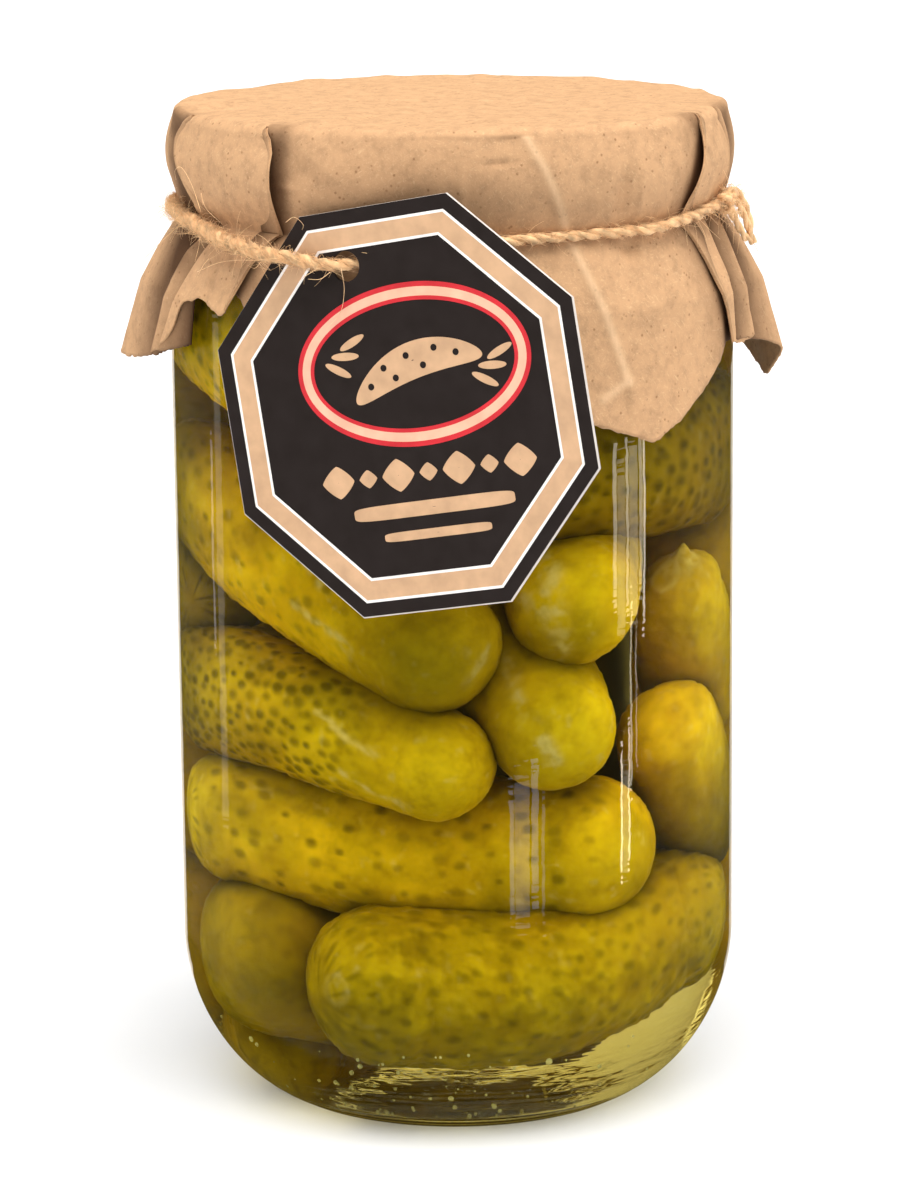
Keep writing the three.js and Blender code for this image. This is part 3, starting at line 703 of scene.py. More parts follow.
def jute(name, factor):
    """Natural jute, two plies twisted: dry straw coloured bast with darker strands."""
    m, place = new_material(name)
    base = tinted(colour("jute"), factor)
    tuft = add_node(m, "ShaderNodeTexNoise", {"Scale": cell(1.4), "Detail": 4.0}, place)
    tone = add_node(m, "ShaderNodeValToRGB", links={0: tuft}, stops=[
        (0.25, tinted(base, 0.55)), (0.52, base), (0.78, tinted(base, 1.25))])
    bump = add_node(m, "ShaderNodeBump", {"Strength": 0.5, "Distance": 0.2 * MM}, {"Height": tuft})
    strand = add_node(m, "ShaderNodeBsdfPrincipled", {"Roughness": 0.75, "Sheen Weight": 0.15},
                      {"Base Color": tone, "Normal": bump})
    return close_material(m, strand)


def printed_card(name, value, roughness=0.42):
    """Offset print on coated card: flat ink with a faint mottle and a satin varnish."""
    m, place = new_material(name)
    mottle = add_node(m, "ShaderNodeTexNoise", {"Scale": cell(3), "Detail": 5.0}, place)
    tone = add_node(m, "ShaderNodeValToRGB", links={0: mottle}, stops=[
        (0.3, tinted(value, 0.88)), (0.7, tinted(value, 1.1))])
    rough = add_node(m, "ShaderNodeValToRGB", links={0: mottle}, stops=[
        (0.3, roughness - 0.05), (0.7, roughness + 0.08)])
    ink = add_node(m, "ShaderNodeBsdfPrincipled", {"Specular IOR Level": 0.22},
                   {"Base Color": tone, "Roughness": rough})
    return close_material(m, ink)


def lacquered_tinplate():
    """Gold lacquered tinplate: warm metal with a fine grain under clear lacquer."""
    m, place = new_material("tinplate_gold_lacquer")
    fine = add_node(m, "ShaderNodeTexNoise", {"Scale": cell(2), "Detail": 3.0}, place)
    rough = add_node(m, "ShaderNodeValToRGB", links={0: fine}, stops=[(0.3, 0.28), (0.7, 0.4)])
    tin = add_node(m, "ShaderNodeBsdfPrincipled", {"Base Color": linear("#D8C07A"), "Metallic": 1.0},
                   {"Roughness": rough})
    return close_material(m, tin)


def pale_floor():
    """Matte painted board, pale, with a faint unevenness."""
    m, place = new_material("pale_board_matte")
    haze = add_node(m, "ShaderNodeTexNoise", {"Scale": cell(300), "Detail": 2.0}, place)
    tone = add_node(m, "ShaderNodeValToRGB", links={0: haze}, stops=[(0.3, 0.76), (0.7, 0.78)])
    board = add_node(m, "ShaderNodeBsdfPrincipled", {"Roughness": 0.9, "Specular IOR Level": 0.1},
                     {"Base Color": tone})
    return close_material(m, board)


# Profiles of the glass and the brine

def heel(flat, wall, low, top, steps):
    """A superellipse quarter from the flat base up into the straight wall."""
    turn = np.linspace(0, np.pi / 2, steps)
    across = np.sin(turn) ** (2 / HEEL_POWER)
    up = 1 - np.cos(turn) ** (2 / HEEL_POWER)
    return np.stack([flat + (wall - flat) * across, low + (top - low) * up], -1)


def shoulder(wall, neck, low, top, steps):
    """A smooth step in radius between two heights."""
    t = np.linspace(0, 1, steps)
    return np.stack([wall + (neck - wall) * smooth_step(t), low + (top - low) * t], -1)


def cavity_profile(grow):
    """Inside of the jar from the base's centre up to the neck, grown outwards into the glass by grow."""
    s = sizes()
    wall = (s.radius - s.wall) / MM + grow
    low = s.base / MM - grow
    neck = (s.neck_radius / MM) - NECK_WALL + grow
    rise = 0.9 * np.cos(np.linspace(0, np.pi / 2, CENTRE_POINTS)) ** 2
    centre = np.stack([np.linspace(0, 19, CENTRE_POINTS), low + rise], -1)
    return np.concatenate([centre, heel(CAVITY_FLAT, wall, low, s.heel_rise / MM + 1, 40),
                           shoulder(wall, neck, *SHOULDER, 14)])


def glass_profile():
    """Outside of the jar from the base's centre to the rim, and back down the inside.
    The base is pushed up in the middle, so the jar stands on a ring, and the lowest
    millimetres have the shallow rings that a mould leaves: a sine that fades upwards."""
    s = sizes()
    radius, flat, neck = s.radius / MM, s.flat_radius / MM, s.neck_radius / MM
    push = np.stack([np.linspace(0, flat - 3, 14),
                     2.2 * np.cos(np.linspace(0, np.pi / 2, 14)) ** 1.5 + 0.5], -1)
    bearing = np.array([(flat - 2.2, 0.2), (flat - 1.4, 0.02), (flat - 0.7, 0.0)])
    low = heel(flat, radius, 0, s.heel_rise / MM, 110)
    z = low[:, 1]
    fade = np.clip(1 - z / MOULD_RING_TOP, 0, 1)
    low[:, 0] += MOULD_RING * np.sin(z * MOULD_RING_TURN) * fade * np.clip(z, 0, 1)
    body = np.concatenate([push, bearing, low])
    top = shoulder(radius, neck, *SHOULDER, 14)
    turn = np.linspace(0, np.pi, 9)
    rim = np.stack([neck - RIM_BEAD + RIM_BEAD * np.cos(turn), RIM_CENTRE + RIM_BEAD * np.sin(turn)], -1)
    return np.concatenate([body, top, rim, cavity_profile(0)[::-1]])


def wall_limit(height, gap):
    """Largest distance from the axis inside the glass at a height, less a gap."""
    inside = cavity_profile(-gap)
    return np.interp(height, inside[CENTRE_POINTS:, 1], inside[CENTRE_POINTS:, 0])


# Gherkins

def gherkin_axis(shape):
    """Centres of a gherkin's two round ends, and how far its middle is pulled outwards and up."""
    start, end = polar(*shape["a"]), polar(*shape["b"])
    outward = (start + end) / 2 * [1, 1, 0]
    outward /= max(1.0, np.linalg.norm(outward))
    return start, end, outward * shape.get("bow", 0) + np.array([0, 0, shape.get("lift", 0)])


def gherkin_surface(name, shape, rows, cols, seed):
    """Rings along a bowed axis. The radius runs evenly from one end's to the other's with a
    slight belly, closes as a blunt dome at both tips, and is three sided by a few per cent.
    Warts are round bumps, and the skin is pressed flat where it meets the glass."""
    rng = np.random.default_rng(seed)
    start, end, pull = gherkin_axis(shape)
    ra, rb = shape["r"]
    along = end - start
    core = np.linalg.norm(along)
    along /= core
    side = np.cross([0, 0, 1], along)
    side /= np.linalg.norm(side)
    up = np.cross(along, side)
    length = core + ra + rb
    rounded = 0.5 - 0.5 * np.cos(np.linspace(0.02, np.pi - 0.02, rows))
    s = 0.55 * rounded + 0.45 * np.linspace(rounded[0], rounded[-1], rows)
    phi = np.linspace(0, 2 * np.pi, cols, endpoint=False)
    travel = length * s - ra
    t = np.clip(travel / core, 0, 1)
    radius = (ra + (rb - ra) * t) * (1 + 0.05 * 4 * t * (1 - t))
    beyond = np.clip(np.where(travel < 0, -travel / ra, (travel - core) / rb), 0, 1)
    width = radius * (1 - beyond ** 2.15) ** 0.5
    axis = start + np.outer(travel, along) + np.outer(4 * t * (1 - t), pull)
    section = 1 + 0.022 * np.cos(3 * phi + rng.uniform(0, 6.28))[None] * (1 - beyond[:, None])
    ring = side * np.cos(phi)[None, :, None] + up * np.sin(phi)[None, :, None]
    points = axis[:, None] + ring * (width[:, None] * section)[..., None]
    shift = rng.uniform(-50, 50, 3)
    fade = 1 - beyond[:, None] ** 3
    wart = warts(rng, s, phi, length, radius, shape)
    pimple = np.clip(rough_noise(points + shift, 2.0, seed + 9, 2), 0, 1) * shape.get("pimples", 0)
    lumps = 0.45 * lattice_noise(points + shift, 13, seed)
    lumps = lumps + 0.16 * rough_noise(points + shift, 5, seed + 3)
    wrinkle = 0.10 * rough_noise(points + shift, 1.6, seed + 5, 2)
    height = (lumps + wrinkle) * (0.35 + 0.65 * fade) + 0.16 * wart * fade + 0.32 * pimple
    relief, pale = torn_places(points, shape, seed)
    points = points + ring * (height + relief)[..., None]
    if "spike" in shape:
        points, torn = stem_stub(points, shape, seed)
        pale = pale + torn
    points = press_to_glass(points)
    pale = np.clip(pale + skin_marks(points, shape, seed), 0, 0.8)
    skin = skin_colours(points + shift, s, phi, beyond, wart, pimple, pale, shape, seed)
    skin = contact_shade(points, name)[..., None] * skin
    return points.reshape(-1, 3), skin.reshape(-1, 3)


def torn_places(points, shape, seed):
    """Relief and paleness of torn places: each a pit with a raised, ragged pale lip round it."""
    height = np.zeros(points.shape[:-1])
    pale = np.zeros_like(height)
    for *place, strength in shape.get("scars", []):
        away = np.linalg.norm(points - polar(*place), axis=-1)
        lip = np.exp(-((away - 2.1) / 0.6) ** 2)
        height += 0.25 * lip - 0.6 * np.exp(-(away / 1.3) ** 2)
        pale += strength * lip * (0.6 + 0.4 * lattice_noise(points, 1.2, seed + 41))
    return height, pale


def stem_stub(points, shape, seed):
    """The skin drawn up to a stub where the stem was, and how pale and torn it is round there."""
    tip = polar(*shape["spike"])
    near = np.exp(-(np.linalg.norm((points - tip) * [1, 1, 0.55], axis=-1) / 1.5) ** 2)
    points = points + near[..., None] * [0.3, -0.3, 2.6]
    torn = np.clip(0.75 + 0.9 * rough_noise(points, 1.1, seed + 43, 2), 0, 1.1)
    return points, torn * np.exp(-(np.linalg.norm(points - tip, axis=-1) / 3.4) ** 2)


def chain_of_balls(shape):
    """Eleven balls along a gherkin's bowed axis, their centres and radii."""
    start, end, pull = gherkin_axis(shape)
    t = np.linspace(0, 1, 11)
    radii = shape["r"][0] + (shape["r"][1] - shape["r"][0]) * t
    return start + np.outer(t, end - start) + np.outer(4 * t * (1 - t), pull), radii


def contact_shade(points, own):
    """Painted shade: the skin darkens where another gherkin is near, giving the light left by the distance
    to its chain of balls.
    """
    close = np.zeros(points.shape[:-1])
    flat = points.reshape(-1, 3)
    low, high = flat.min(0) - 7, flat.max(0) + 7
    for name, other in GHERKINS.items():
        centres, radii = chain_of_balls(other)
        reach = radii.max()
        if name == own or (centres.max(0) + reach < low).any() or (centres.min(0) - reach > high).any():
            continue
        square = (flat ** 2).sum(1)[:, None] - 2 * flat @ centres.T + (centres ** 2).sum(1)
        gap = (np.sqrt(np.maximum(square, 0)) - radii).min(1).reshape(close.shape)
        close = np.maximum(close, np.exp(-np.clip(gap, 0, 20) / 2.0))
    return 1 - 0.62 * close


def warts(rng, s, phi, length, radius, shape):
    """How much each point belongs to a wart, a round spot that fades by a Gaussian. Warts stand in
    rows an even gap apart, every other row shifted by half, each moved a little at random."""
    gap = shape.get("gap", 4.0)
    count = max(2, int(length / gap)), max(3, int(2 * np.pi * radius.mean() / gap))
    i, j = np.meshgrid(np.arange(count[0]), np.arange(count[1]), indexing="ij")
    where = (i + 0.5 + rng.uniform(-0.36, 0.36, i.shape)) / count[0]
    around = 2 * np.pi * (j + 0.5 * (i % 2) + rng.uniform(-0.36, 0.36, i.shape)) / count[1]
    size = rng.uniform(0.65, 1.25, i.shape) * 0.8
    depth = rng.uniform(0.5, 1.0, i.shape)
    depth = depth * np.clip((shape.get("until", 0.93) - where) / 0.15 + 0.5, 0.12, 1)
    where, around, size, depth = (v.ravel() for v in (where, around, size, depth))
    field = np.zeros((len(s), len(phi)))
    reach = 3.2 * size.max() / length
    for low in range(0, len(s), 24):
        rows = slice(low, low + 24)
        near = (where > s[rows].min() - reach) & (where < s[rows].max() + reach)
        if near.any():
            ds = (s[rows, None, None] - where[near]) * length
            turn = (phi[None, :, None] - around[near] + np.pi) % (2 * np.pi) - np.pi
            dp = turn * radius[rows, None, None]
            spot = np.exp(-(((ds / 1.2) ** 2 + dp ** 2) / size[near] ** 2) ** 2) * depth[near]
            field[rows] = spot.max(-1)
    return field


def press_to_glass(points):
    """Moves points past the inner wall or floor back to it, so a gherkin lies flat where it touches."""
    distance = np.hypot(points[..., 0], points[..., 1])
    limit = wall_limit(points[..., 2], 0.25)
    soft = 0.5
    over = np.clip((distance - limit + soft) / soft, 0, 30)
    back = np.where(over > 0, limit - soft * np.exp(-over), distance)
    scale = back / np.maximum(distance, 1e-6)
    low = sizes().base / MM + 1.2
    return np.stack([points[..., 0] * scale, points[..., 1] * scale, np.maximum(points[..., 2], low)], -1)


def skin_marks(points, shape, seed):
    """Pale scratches on the side that faces the glass: a ragged line by azimuth and height."""
    azimuth = np.degrees(np.arctan2(points[..., 0], -points[..., 1]))
    facing = np.clip((np.hypot(points[..., 0], points[..., 1]) - 30) / 3, 0, 1)
    total = np.zeros(azimuth.shape)
    for line in shape.get("marks", []):
        away, _ = crease_distance(azimuth, points[..., 2], line)
        away = away + 0.5 * rough_noise(points, 2.5, seed + 51, 2)
        ragged = np.clip(0.55 + 0.9 * rough_noise(points, 1.6, seed + 52, 2), 0, 1)
        total += 0.9 * np.exp(-(away / shape.get("wide", 0.55)) ** 2) * ragged * facing
    flecks = np.clip(1.3 * rough_noise(points, 1.5, seed + 53, 2) - 0.75, 0, 1)
    return total + 0.38 * flecks


def skin_colours(points, s, phi, beyond, wart, pimple, pale, shape, seed):
    """Skin colour at each point: olive blended with greener patches, pale lengthwise streaks,
    yellow ripe tips, dark warts and pale marks, all times the gherkin's tone, partly its own
    colour and partly painted light and shade, and times painted shade along its length."""
    names = ("skin", "skin_green", "skin_ripe", "wart", "skin_pale")
    olive, green, ripe, dark, light = (np.array(colour(n)[:3]) for n in names)
    patch = np.clip(0.45 + 0.8 * rough_noise(points, 16, seed + 21), 0, 1)[..., None]
    skin = olive * (1 - 0.6 * patch) + green * 0.6 * patch
    blotch = rough_noise(points, 6.5, seed + 61)[..., None]
    glow = np.clip(0.75 * blotch, 0, 0.5)
    skin = (skin * (1 - glow) + ripe * 1.15 * glow) * (1 - 0.3 * np.clip(-blotch, 0, 1))
    spread = np.stack(np.broadcast_arrays(
        np.cos(phi)[None] * 4.6, np.sin(phi)[None] * 4.6, s[:, None] * 4.0 + seed), -1)
    streak = np.clip(rough_noise(spread, 1.0, seed + 31) * 1.2 - 0.15, 0, 1) * (1 - beyond[:, None] ** 2)
    streak = streak[..., None]
    skin = skin * (1 - 0.35 * streak) + ripe * 0.35 * streak
    amount = shape.get("ripe", 0.3)
    tip = np.clip((s[:, None] - 0.62) * 3.2, 0, 1) * amount + 0.2 * amount + 0.3 * beyond[:, None] * amount
    tip = np.clip(tip + np.zeros_like(wart), 0, 1)[..., None]
    skin = skin * (1 - tip) + ripe * tip
    bumpy = 0.6 * pimple[..., None]
    skin = skin * (1 - bumpy) + ripe * 1.25 * bumpy
    spot = np.clip(wart * 1.15 * shape.get("spot", 0.4), 0, 0.88)[..., None]
    skin = skin * (1 - spot) + dark * spot
    skin = skin * (1 - pale[..., None]) + light * pale[..., None]
    # Painted shade along the gherkin, then its tone, which is partly its own colour and partly painted
    # light and shade
    shade = np.interp(s, np.linspace(0.1, 0.9, 41), dim_curve(shape.get("dim", (1, 1, 1))))
    return skin * shade[:, None, None] * shape.get("tone", 0.85)


def dim_curve(dim):
    """The three levels of painted shade joined by a parabola, never under the darkest of them."""
    t = np.linspace(0, 1, 41)
    first, middle, last = dim
    curve = first * (1 - t) * (1 - 2 * t) + 4 * middle * t * (1 - t) + last * t * (2 * t - 1)
    return np.clip(curve, min(dim), max(dim) * 1.05)


class JARDRESS_OT_gherkins(bpy.types.Operator):
    """Every gherkin as its own mesh, over a dark core, darkened with painted shade, that stands for those
    too deep to see
    """
    bl_idname = "jardress.gherkins"
    bl_label = "Gherkins"

    def execute(self, context):
        skin = gherkin_skin()
        heap = None
        for seed, (name, shape) in enumerate(GHERKINS.items(), start=1):
            fine = "until" in shape or name == "long_front"
            rows, cols = (270, 160) if fine else (180, 112) if "tone" in shape else (110, 72)
            points, colours = gherkin_surface(name, shape, rows, cols, seed)
            quads = grid_quads(rows, cols, wrap_cols=True)
            full, faces = close_poles(points, quads, rows, cols)
            grid = colours.reshape(rows, cols, 3)
            shades = np.concatenate([colours, [grid[0].mean(0), grid[-1].mean(0)]])
            piece = make_mesh("gherkin_" + name, full, faces, [skin], values={"skin": shades})
            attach(piece, BODY)
            heap = heap or piece
        profile = [(0, 14), (13, 15), (18, 22), (20, 40), (20, 80), (20, 120), (15, 136), (0, 139)]
        points, faces = turned(profile, 40)
        points = points * (1 + 0.12 * lattice_noise(points, 16, 5)[:, None] * [1, 1, 0])
        core = make_mesh("gherkin_core", points, faces, [gherkin_core()])
        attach(core, BODY)
        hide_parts("pickles")
        return {"FINISHED"}


def small_balls(centres, radii, rows=6, cols=8):
    """Many small balls in one mesh: rings of latitude round each centre, with poles."""
    lat = np.linspace(0, np.pi, rows + 2)[1:-1]
    lon = np.linspace(0, 2 * np.pi, cols, endpoint=False)
    ring = np.stack([np.outer(np.sin(lat), np.cos(lon)), np.outer(np.sin(lat), np.sin(lon)),
                     np.outer(np.cos(lat), np.ones(cols))], -1)
    full, faces = close_poles(ring[::-1], grid_quads(rows, cols, wrap_cols=True), rows, cols)
    full[-2:] = (0, 0, -1), (0, 0, 1)
    points = centres[:, None] + radii[:, None, None] * full[None]
    count = len(full)
    return points.reshape(-1, 3), [[i + k * count for i in f] for k in range(len(centres)) for f in faces]


class JARDRESS_OT_glass(bpy.types.Operator):
    """The blown jar with its pushed-up base, and the brine that fills it into the wall"""
    bl_idname = "jardress.glass"
    bl_label = "Glass and brine"

    def execute(self, context):
        self.jar()
        self.brine()
        self.bubbles()
        return {"FINISHED"}

    def jar(self):
        """The glass in one piece, its faces that touch brine in a material of their own."""
        profile = glass_profile()
        columns = 220
        points, faces = turned(profile, columns)
        first_inner = np.argmax(profile[:, 1]) + 4
        row = np.array([min(f) // columns for f in faces])
        wetted = (row >= first_inner) & (np.array([max(f) for f in faces]) != len(points) - 2)
        dry = container_glass("container_glass_blown", 1.0)
        wet = container_glass("container_glass_wetted", 0.03)
        jar = make_mesh("jar_glass", points, faces, [dry, wet], slots=wetted)
        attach(jar, BODY)
        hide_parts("jar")

    def brine(self):
        """The brine reaches a little into the glass, so no air shows between them."""
        level = sizes().brine_level / MM
        inside = cavity_profile(0.12)
        neck = inside[-1, 0]
        profile = np.concatenate([inside, [(neck, level - 0.6), (neck - 0.6, level), (0, level)]])
        points, faces = turned(profile, 180)
        brine = make_mesh("brine", points, faces, [pickle_brine()])
        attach(brine, BODY)

    def bubbles(self):
        """Small bubbles on the inside of the heel, most of them at the front."""
        rng = np.random.default_rng(31)
        low = cavity_profile(-0.35)
        heel_part = low[(low[:, 1] < 17) & (low[:, 0] > 12)]
        run = rng.random(BUBBLES) * (len(heel_part) - 1)
        distance, height = (np.interp(run, np.arange(len(heel_part)), heel_part[:, k]) for k in (0, 1))
        front = rng.random(BUBBLES) < 0.6
        azimuth = np.where(front, rng.normal(-14, 20, BUBBLES), rng.uniform(-180, 180, BUBBLES))
        radii = rng.gamma(3, 0.05, BUBBLES) + 0.07
        points, faces = small_balls(polar(azimuth, distance, height), radii)
        bubbles = make_mesh("brine_bubbles", points, faces, [air_bubble()])
        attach(bubbles, BODY)


# Kraft cover

def cover_columns(count):
    """The control columns blended evenly round the sheet and softened, so folds have a small
    radius, and an even azimuth without folds for the flat top."""
    table = np.array(COVER + [tuple(c + (360 if k < 3 else 0) for k, c in enumerate(COVER[0]))], float)
    gap = np.hypot(np.diff(table[:, 1]) * 0.76, 1.2) + np.abs(np.diff(table[:, 2])) * 0.3
    place = np.concatenate([[0], np.cumsum(gap)])
    at = np.linspace(0, place[-1], count, endpoint=False)
    cols = np.stack([np.interp(at, place, table[:, k]) for k in range(table.shape[1])], -1)
    turn = np.arange(count) / count * 360
    cols[:, :3] -= turn[:, None]
    soft = smoothed(cols, 1.5)
    even = smoothed(cols[:, :1], count / 18)[:, 0]
    soft[:, :3] += turn[:, None]
    return soft, even + turn


def smoothed(columns, spread):
    """Columns averaged with their neighbours round the sheet, weighted by a bell curve."""
    reach = int(3 * spread) + 1
    steps = np.arange(-reach, reach + 1)
    kernel = np.exp(-0.5 * (steps / spread) ** 2)
    return sum(w * np.roll(columns, k, axis=0) for w, k in zip(kernel / kernel.sum(), steps))


def crease_distance(azimuth, height, line):
    """Distance in millimetres on the unrolled side from a line of azimuths and heights."""
    line = np.array(line, float)
    p = np.stack([azimuth * MM_PER_DEGREE, height], -1)
    q = line * [MM_PER_DEGREE, 1.0]
    best = np.full(azimuth.shape, 1e9)
    sign = np.ones_like(best)
    for a, b in zip(q[:-1], q[1:]):
        d = b - a
        t = np.clip(((p - a) @ d) / (d @ d), 0, 1)
        near = p - (a + t[..., None] * d)
        length = np.hypot(near[..., 0], near[..., 1])
        closer = length < best
        best = np.where(closer, length, best)
        sign = np.where(closer, np.sign(near[..., 0]), sign)
    return best, sign


def crumple(points, seed, count, reach, height):
    """Paper creases: each a short straight ridge, its height falling off evenly on both sides."""
    rng = np.random.default_rng(seed)
    total = np.zeros(points.shape[:-1])
    azimuth, distance = rng.uniform(-180, 180, count), rng.uniform(38, 46, count)
    centres = polar(azimuth, distance, rng.uniform(112, 159, count))
    lift = rng.random(count) < 0.35
    centres[lift] = polar(rng.uniform(-180, 180, lift.sum()), 42 * rng.random(lift.sum()) ** 0.5, 158.2)
    for c in centres:
        n = rng.normal(size=3)
        n /= np.linalg.norm(n)
        d = points - c
        far = (d * d).sum(-1)
        size = reach * rng.uniform(0.6, 1.3)
        push = height * rng.uniform(-1, 1) * np.exp(-far / size ** 2)
        total += push * (1 - np.minimum(np.abs(d @ n) / 1.7, 1.8))
    return total


def hollow(azimuth, height, place):
    """A bell shaped bump on the unrolled side: azimuth, height, half width and half height."""
    across = (azimuth - place[0]) * MM_PER_DEGREE
    return np.exp(-(across / place[2]) ** 2 - ((height - place[1]) / place[3]) ** 2)


def on_side(distance):
    """How much a point belongs to the paper's side and not to its flat top, by its distance."""
    return smooth_step(np.clip((distance - 37) / 5, 0, 1))


def cover_form(rows_top, rows_rim, rows_side, rows_skirt, columns):
    """The sheet row by row: flat over the lid, round its rim, down the side to the tied waist
    and out again as a skirt, whose lower edge has its own height at each column. Gives distance,
    height, azimuth and how much painted shade each point gets where it lies deep in a fold."""
    p = paper_sizes()
    top, edge = p.top / MM, p.edge_radius / MM
    nip_z, nip_r, skirt_r = p.nip_height / MM, p.nip_radius / MM, p.skirt_radius / MM
    cols, even = cover_columns(columns)
    rim_az, nip_az, hem_az, side_out, hem_out, hem_z, layer, deep = (cols[:, k][None] for k in range(8))
    blank = np.zeros((1, columns))
    round_way = np.stack([np.cos(np.radians(even)) * 43, np.sin(np.radians(even)) * 43, 0 * even], -1)
    corner = 1.5 + 0.5 * rough_noise(round_way, 11, 64)[None]
    sag = 0.25 + 0.2 * rough_noise(round_way, 17, 65)[None]

    out = np.linspace(0.02, 1, rows_top)[:, None]
    folded = 0.3 * np.clip((out - 0.9) / 0.1, 0, 1) ** 2
    rows = [(out * (edge - corner), top - 0.3 * out ** 4 + sag * out ** 3,
             even[None] + (rim_az - even[None]) * folded, deep * folded * 0.6)]
    turn = np.linspace(0, np.pi / 2, rows_rim + 1)[1:, None]
    folded = 0.3 + 0.5 * turn / (np.pi / 2)
    rows.append((edge - corner + corner * np.sin(turn) + 0.25 * side_out * np.sin(turn) ** 2,
                 top - 0.3 + sag - corner + corner * np.cos(turn),
                 even[None] + (rim_az - even[None]) * folded, deep * folded))
    t = np.linspace(0, 1, rows_side + 1)[1:, None]
    side_top = top - 0.3 + sag - corner
    side_z = side_top + (nip_z - side_top) * t
    folded = np.clip(0.8 + 1.4 * t, 0, 1)
    swell = np.sin(np.pi * np.minimum(1, t ** 0.9)) ** 1.2
    side_r = edge + (nip_r - edge) * t ** 3 + (0.9 + side_out) * swell + 0.25 * side_out * (1 - t) ** 2
    side_az = rim_az + (nip_az - rim_az) * smooth_step(t)
    rows.append((side_r + 0.32 * layer * t ** 4, side_z,
                 even[None] + (side_az - even[None]) * folded, deep * folded))
    t = np.linspace(0, 1, rows_skirt + 1)[1:, None]
    ease = t ** 1.25
    z = nip_z + (hem_z - nip_z) * ease
    down = np.clip((nip_z - z) / (nip_z - SHOULDER[0]), 0, 1)
    flare = nip_r + (skirt_r - nip_r) * down ** 0.8 + hem_out * ease ** 0.9
    flare = flare + 0.32 * layer * (1 - ease) ** 2
    rows.append((flare, z, nip_az + (hem_az - nip_az) * ease ** 0.65, deep + 0 * t))
    return [np.concatenate([np.broadcast_to(row[k], (len(row[0]), columns)) + blank for row in rows])
            for k in range(4)]


def cover_relief(points, r, z, az):
    """How far the sheet is pushed out by its gathers, raised crease, dents and crumples, and how
    far the crease is worn pale."""
    nip_z, top = paper_sizes().nip_height / MM, paper_sizes().top / MM
    side = on_side(r)
    near_nip = np.exp(-np.abs(z - nip_z) / 4.5)
    phase = np.stack([np.cos(np.radians(az)) * 9, np.sin(np.radians(az)) * 9, z * 0.05], -1)
    gather = 0.42 * near_nip * side * rough_noise(phase, 1.0, 71, 2)
    below_top = z < top - 1.2
    d, sign = crease_distance(az, z, RAISED_CREASE)
    wear = np.exp(-(d / 0.55) ** 2) * below_top
    past = 0.5 + 0.5 * np.tanh(sign * d / 1.3)
    ridge = 0.26 * np.exp(-(d / 1.1) ** 2) + np.exp(-(d / 5.0)) * (0.6 * past - 0.45)
    d, _ = crease_distance(az, z, CREASE_END)
    wear += 0.7 * np.exp(-(d / 0.7) ** 2) * below_top
    ridge += 0.15 * np.exp(-(d / 0.9) ** 2)
    push = gather + ridge * side * below_top
    push += sum(dent[4] * hollow(az, z, dent) for dent in DENTS) * side
    push += crumple(points, 12, 130, 7.0, 0.42) + 0.12 * rough_noise(points, 9, 81)
    return push, np.clip(wear, 0, 1)


def cover_surface(rows_top, rows_rim, rows_side, rows_skirt, columns):
    """Points of the sheet with its relief and ragged hem, its painted shade in folds and where it turns
    under, and its wear.
    """
    r, z, az, shade = cover_form(rows_top, rows_rim, rows_side, rows_skirt, columns)
    nip_z, edge = paper_sizes().nip_height / MM, paper_sizes().edge_radius / MM
    points = polar(az, r, z)
    push, wear = cover_relief(points, r, z, az)
    side = on_side(r)
    # Painted shade where the paper turns under, behind the tag's hole and in the opening under the twine
    under = sum(place[4] * hollow(az, z, place) for place in TURNED_UNDER) * side
    shade = np.clip(shade + under + hollow(az, z, GAP_UNDER_TWINE) * (z < nip_z), 0, 1)
    normal_r = np.clip((r - (edge - 3)) / 3, 0, 1)
    direction = polar(az, normal_r, 0) + np.stack([0 * r, 0 * r, 1 - normal_r ** 2], -1)
    quiet = np.clip(r / 6, 0, 1)
    points = points + direction * (push * quiet)[..., None]
    rng = np.random.default_rng(5)
    torn = 0.25 * rough_noise(np.stack([az[-1] * 0.8, 0 * az[-1], 0 * az[-1]], -1), 1.6, 33) + \
        0.08 * rng.normal(size=columns)
    points[-1, :, 2] += torn
    return points, shade, wear


class JARDRESS_OT_paper(bpy.types.Operator):
    """The kraft sheet folded over the lid, nipped by the twine and flared as a skirt"""
    bl_idname = "jardress.paper"
    bl_label = "Kraft paper"

    def execute(self, context):
        points, shade, wear = cover_surface(18, 7, 36, 60, 720)
        rows, cols = points.shape[:2]
        quads = grid_quads(rows, cols, wrap_cols=True)[:, ::-1]
        centre = points[0].mean(0)
        full = np.concatenate([points.reshape(-1, 3), [centre]])
        j = np.arange(cols)
        cap = np.stack([np.full(cols, rows * cols), j, (j + 1) % cols], -1)
        # Painted shade of the folds and the real wear of the crease go to the material as attributes
        tones = {"fold_shade": np.append(shade, 0), "crease_wear": np.append(wear, 0)}
        faces = [*quads.tolist(), *cap.tolist()]
        sheet = make_mesh("paper_sheet", full, faces, [kraft_paper()], values=tones)
        wall = sheet.modifiers.new("Sheet thickness", "SOLIDIFY")
        wall.thickness = paper_sizes().thickness
        wall.offset = -1.0
        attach(sheet, BODY)
        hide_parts("paper_cover")
        return {"FINISHED"}


# Twine

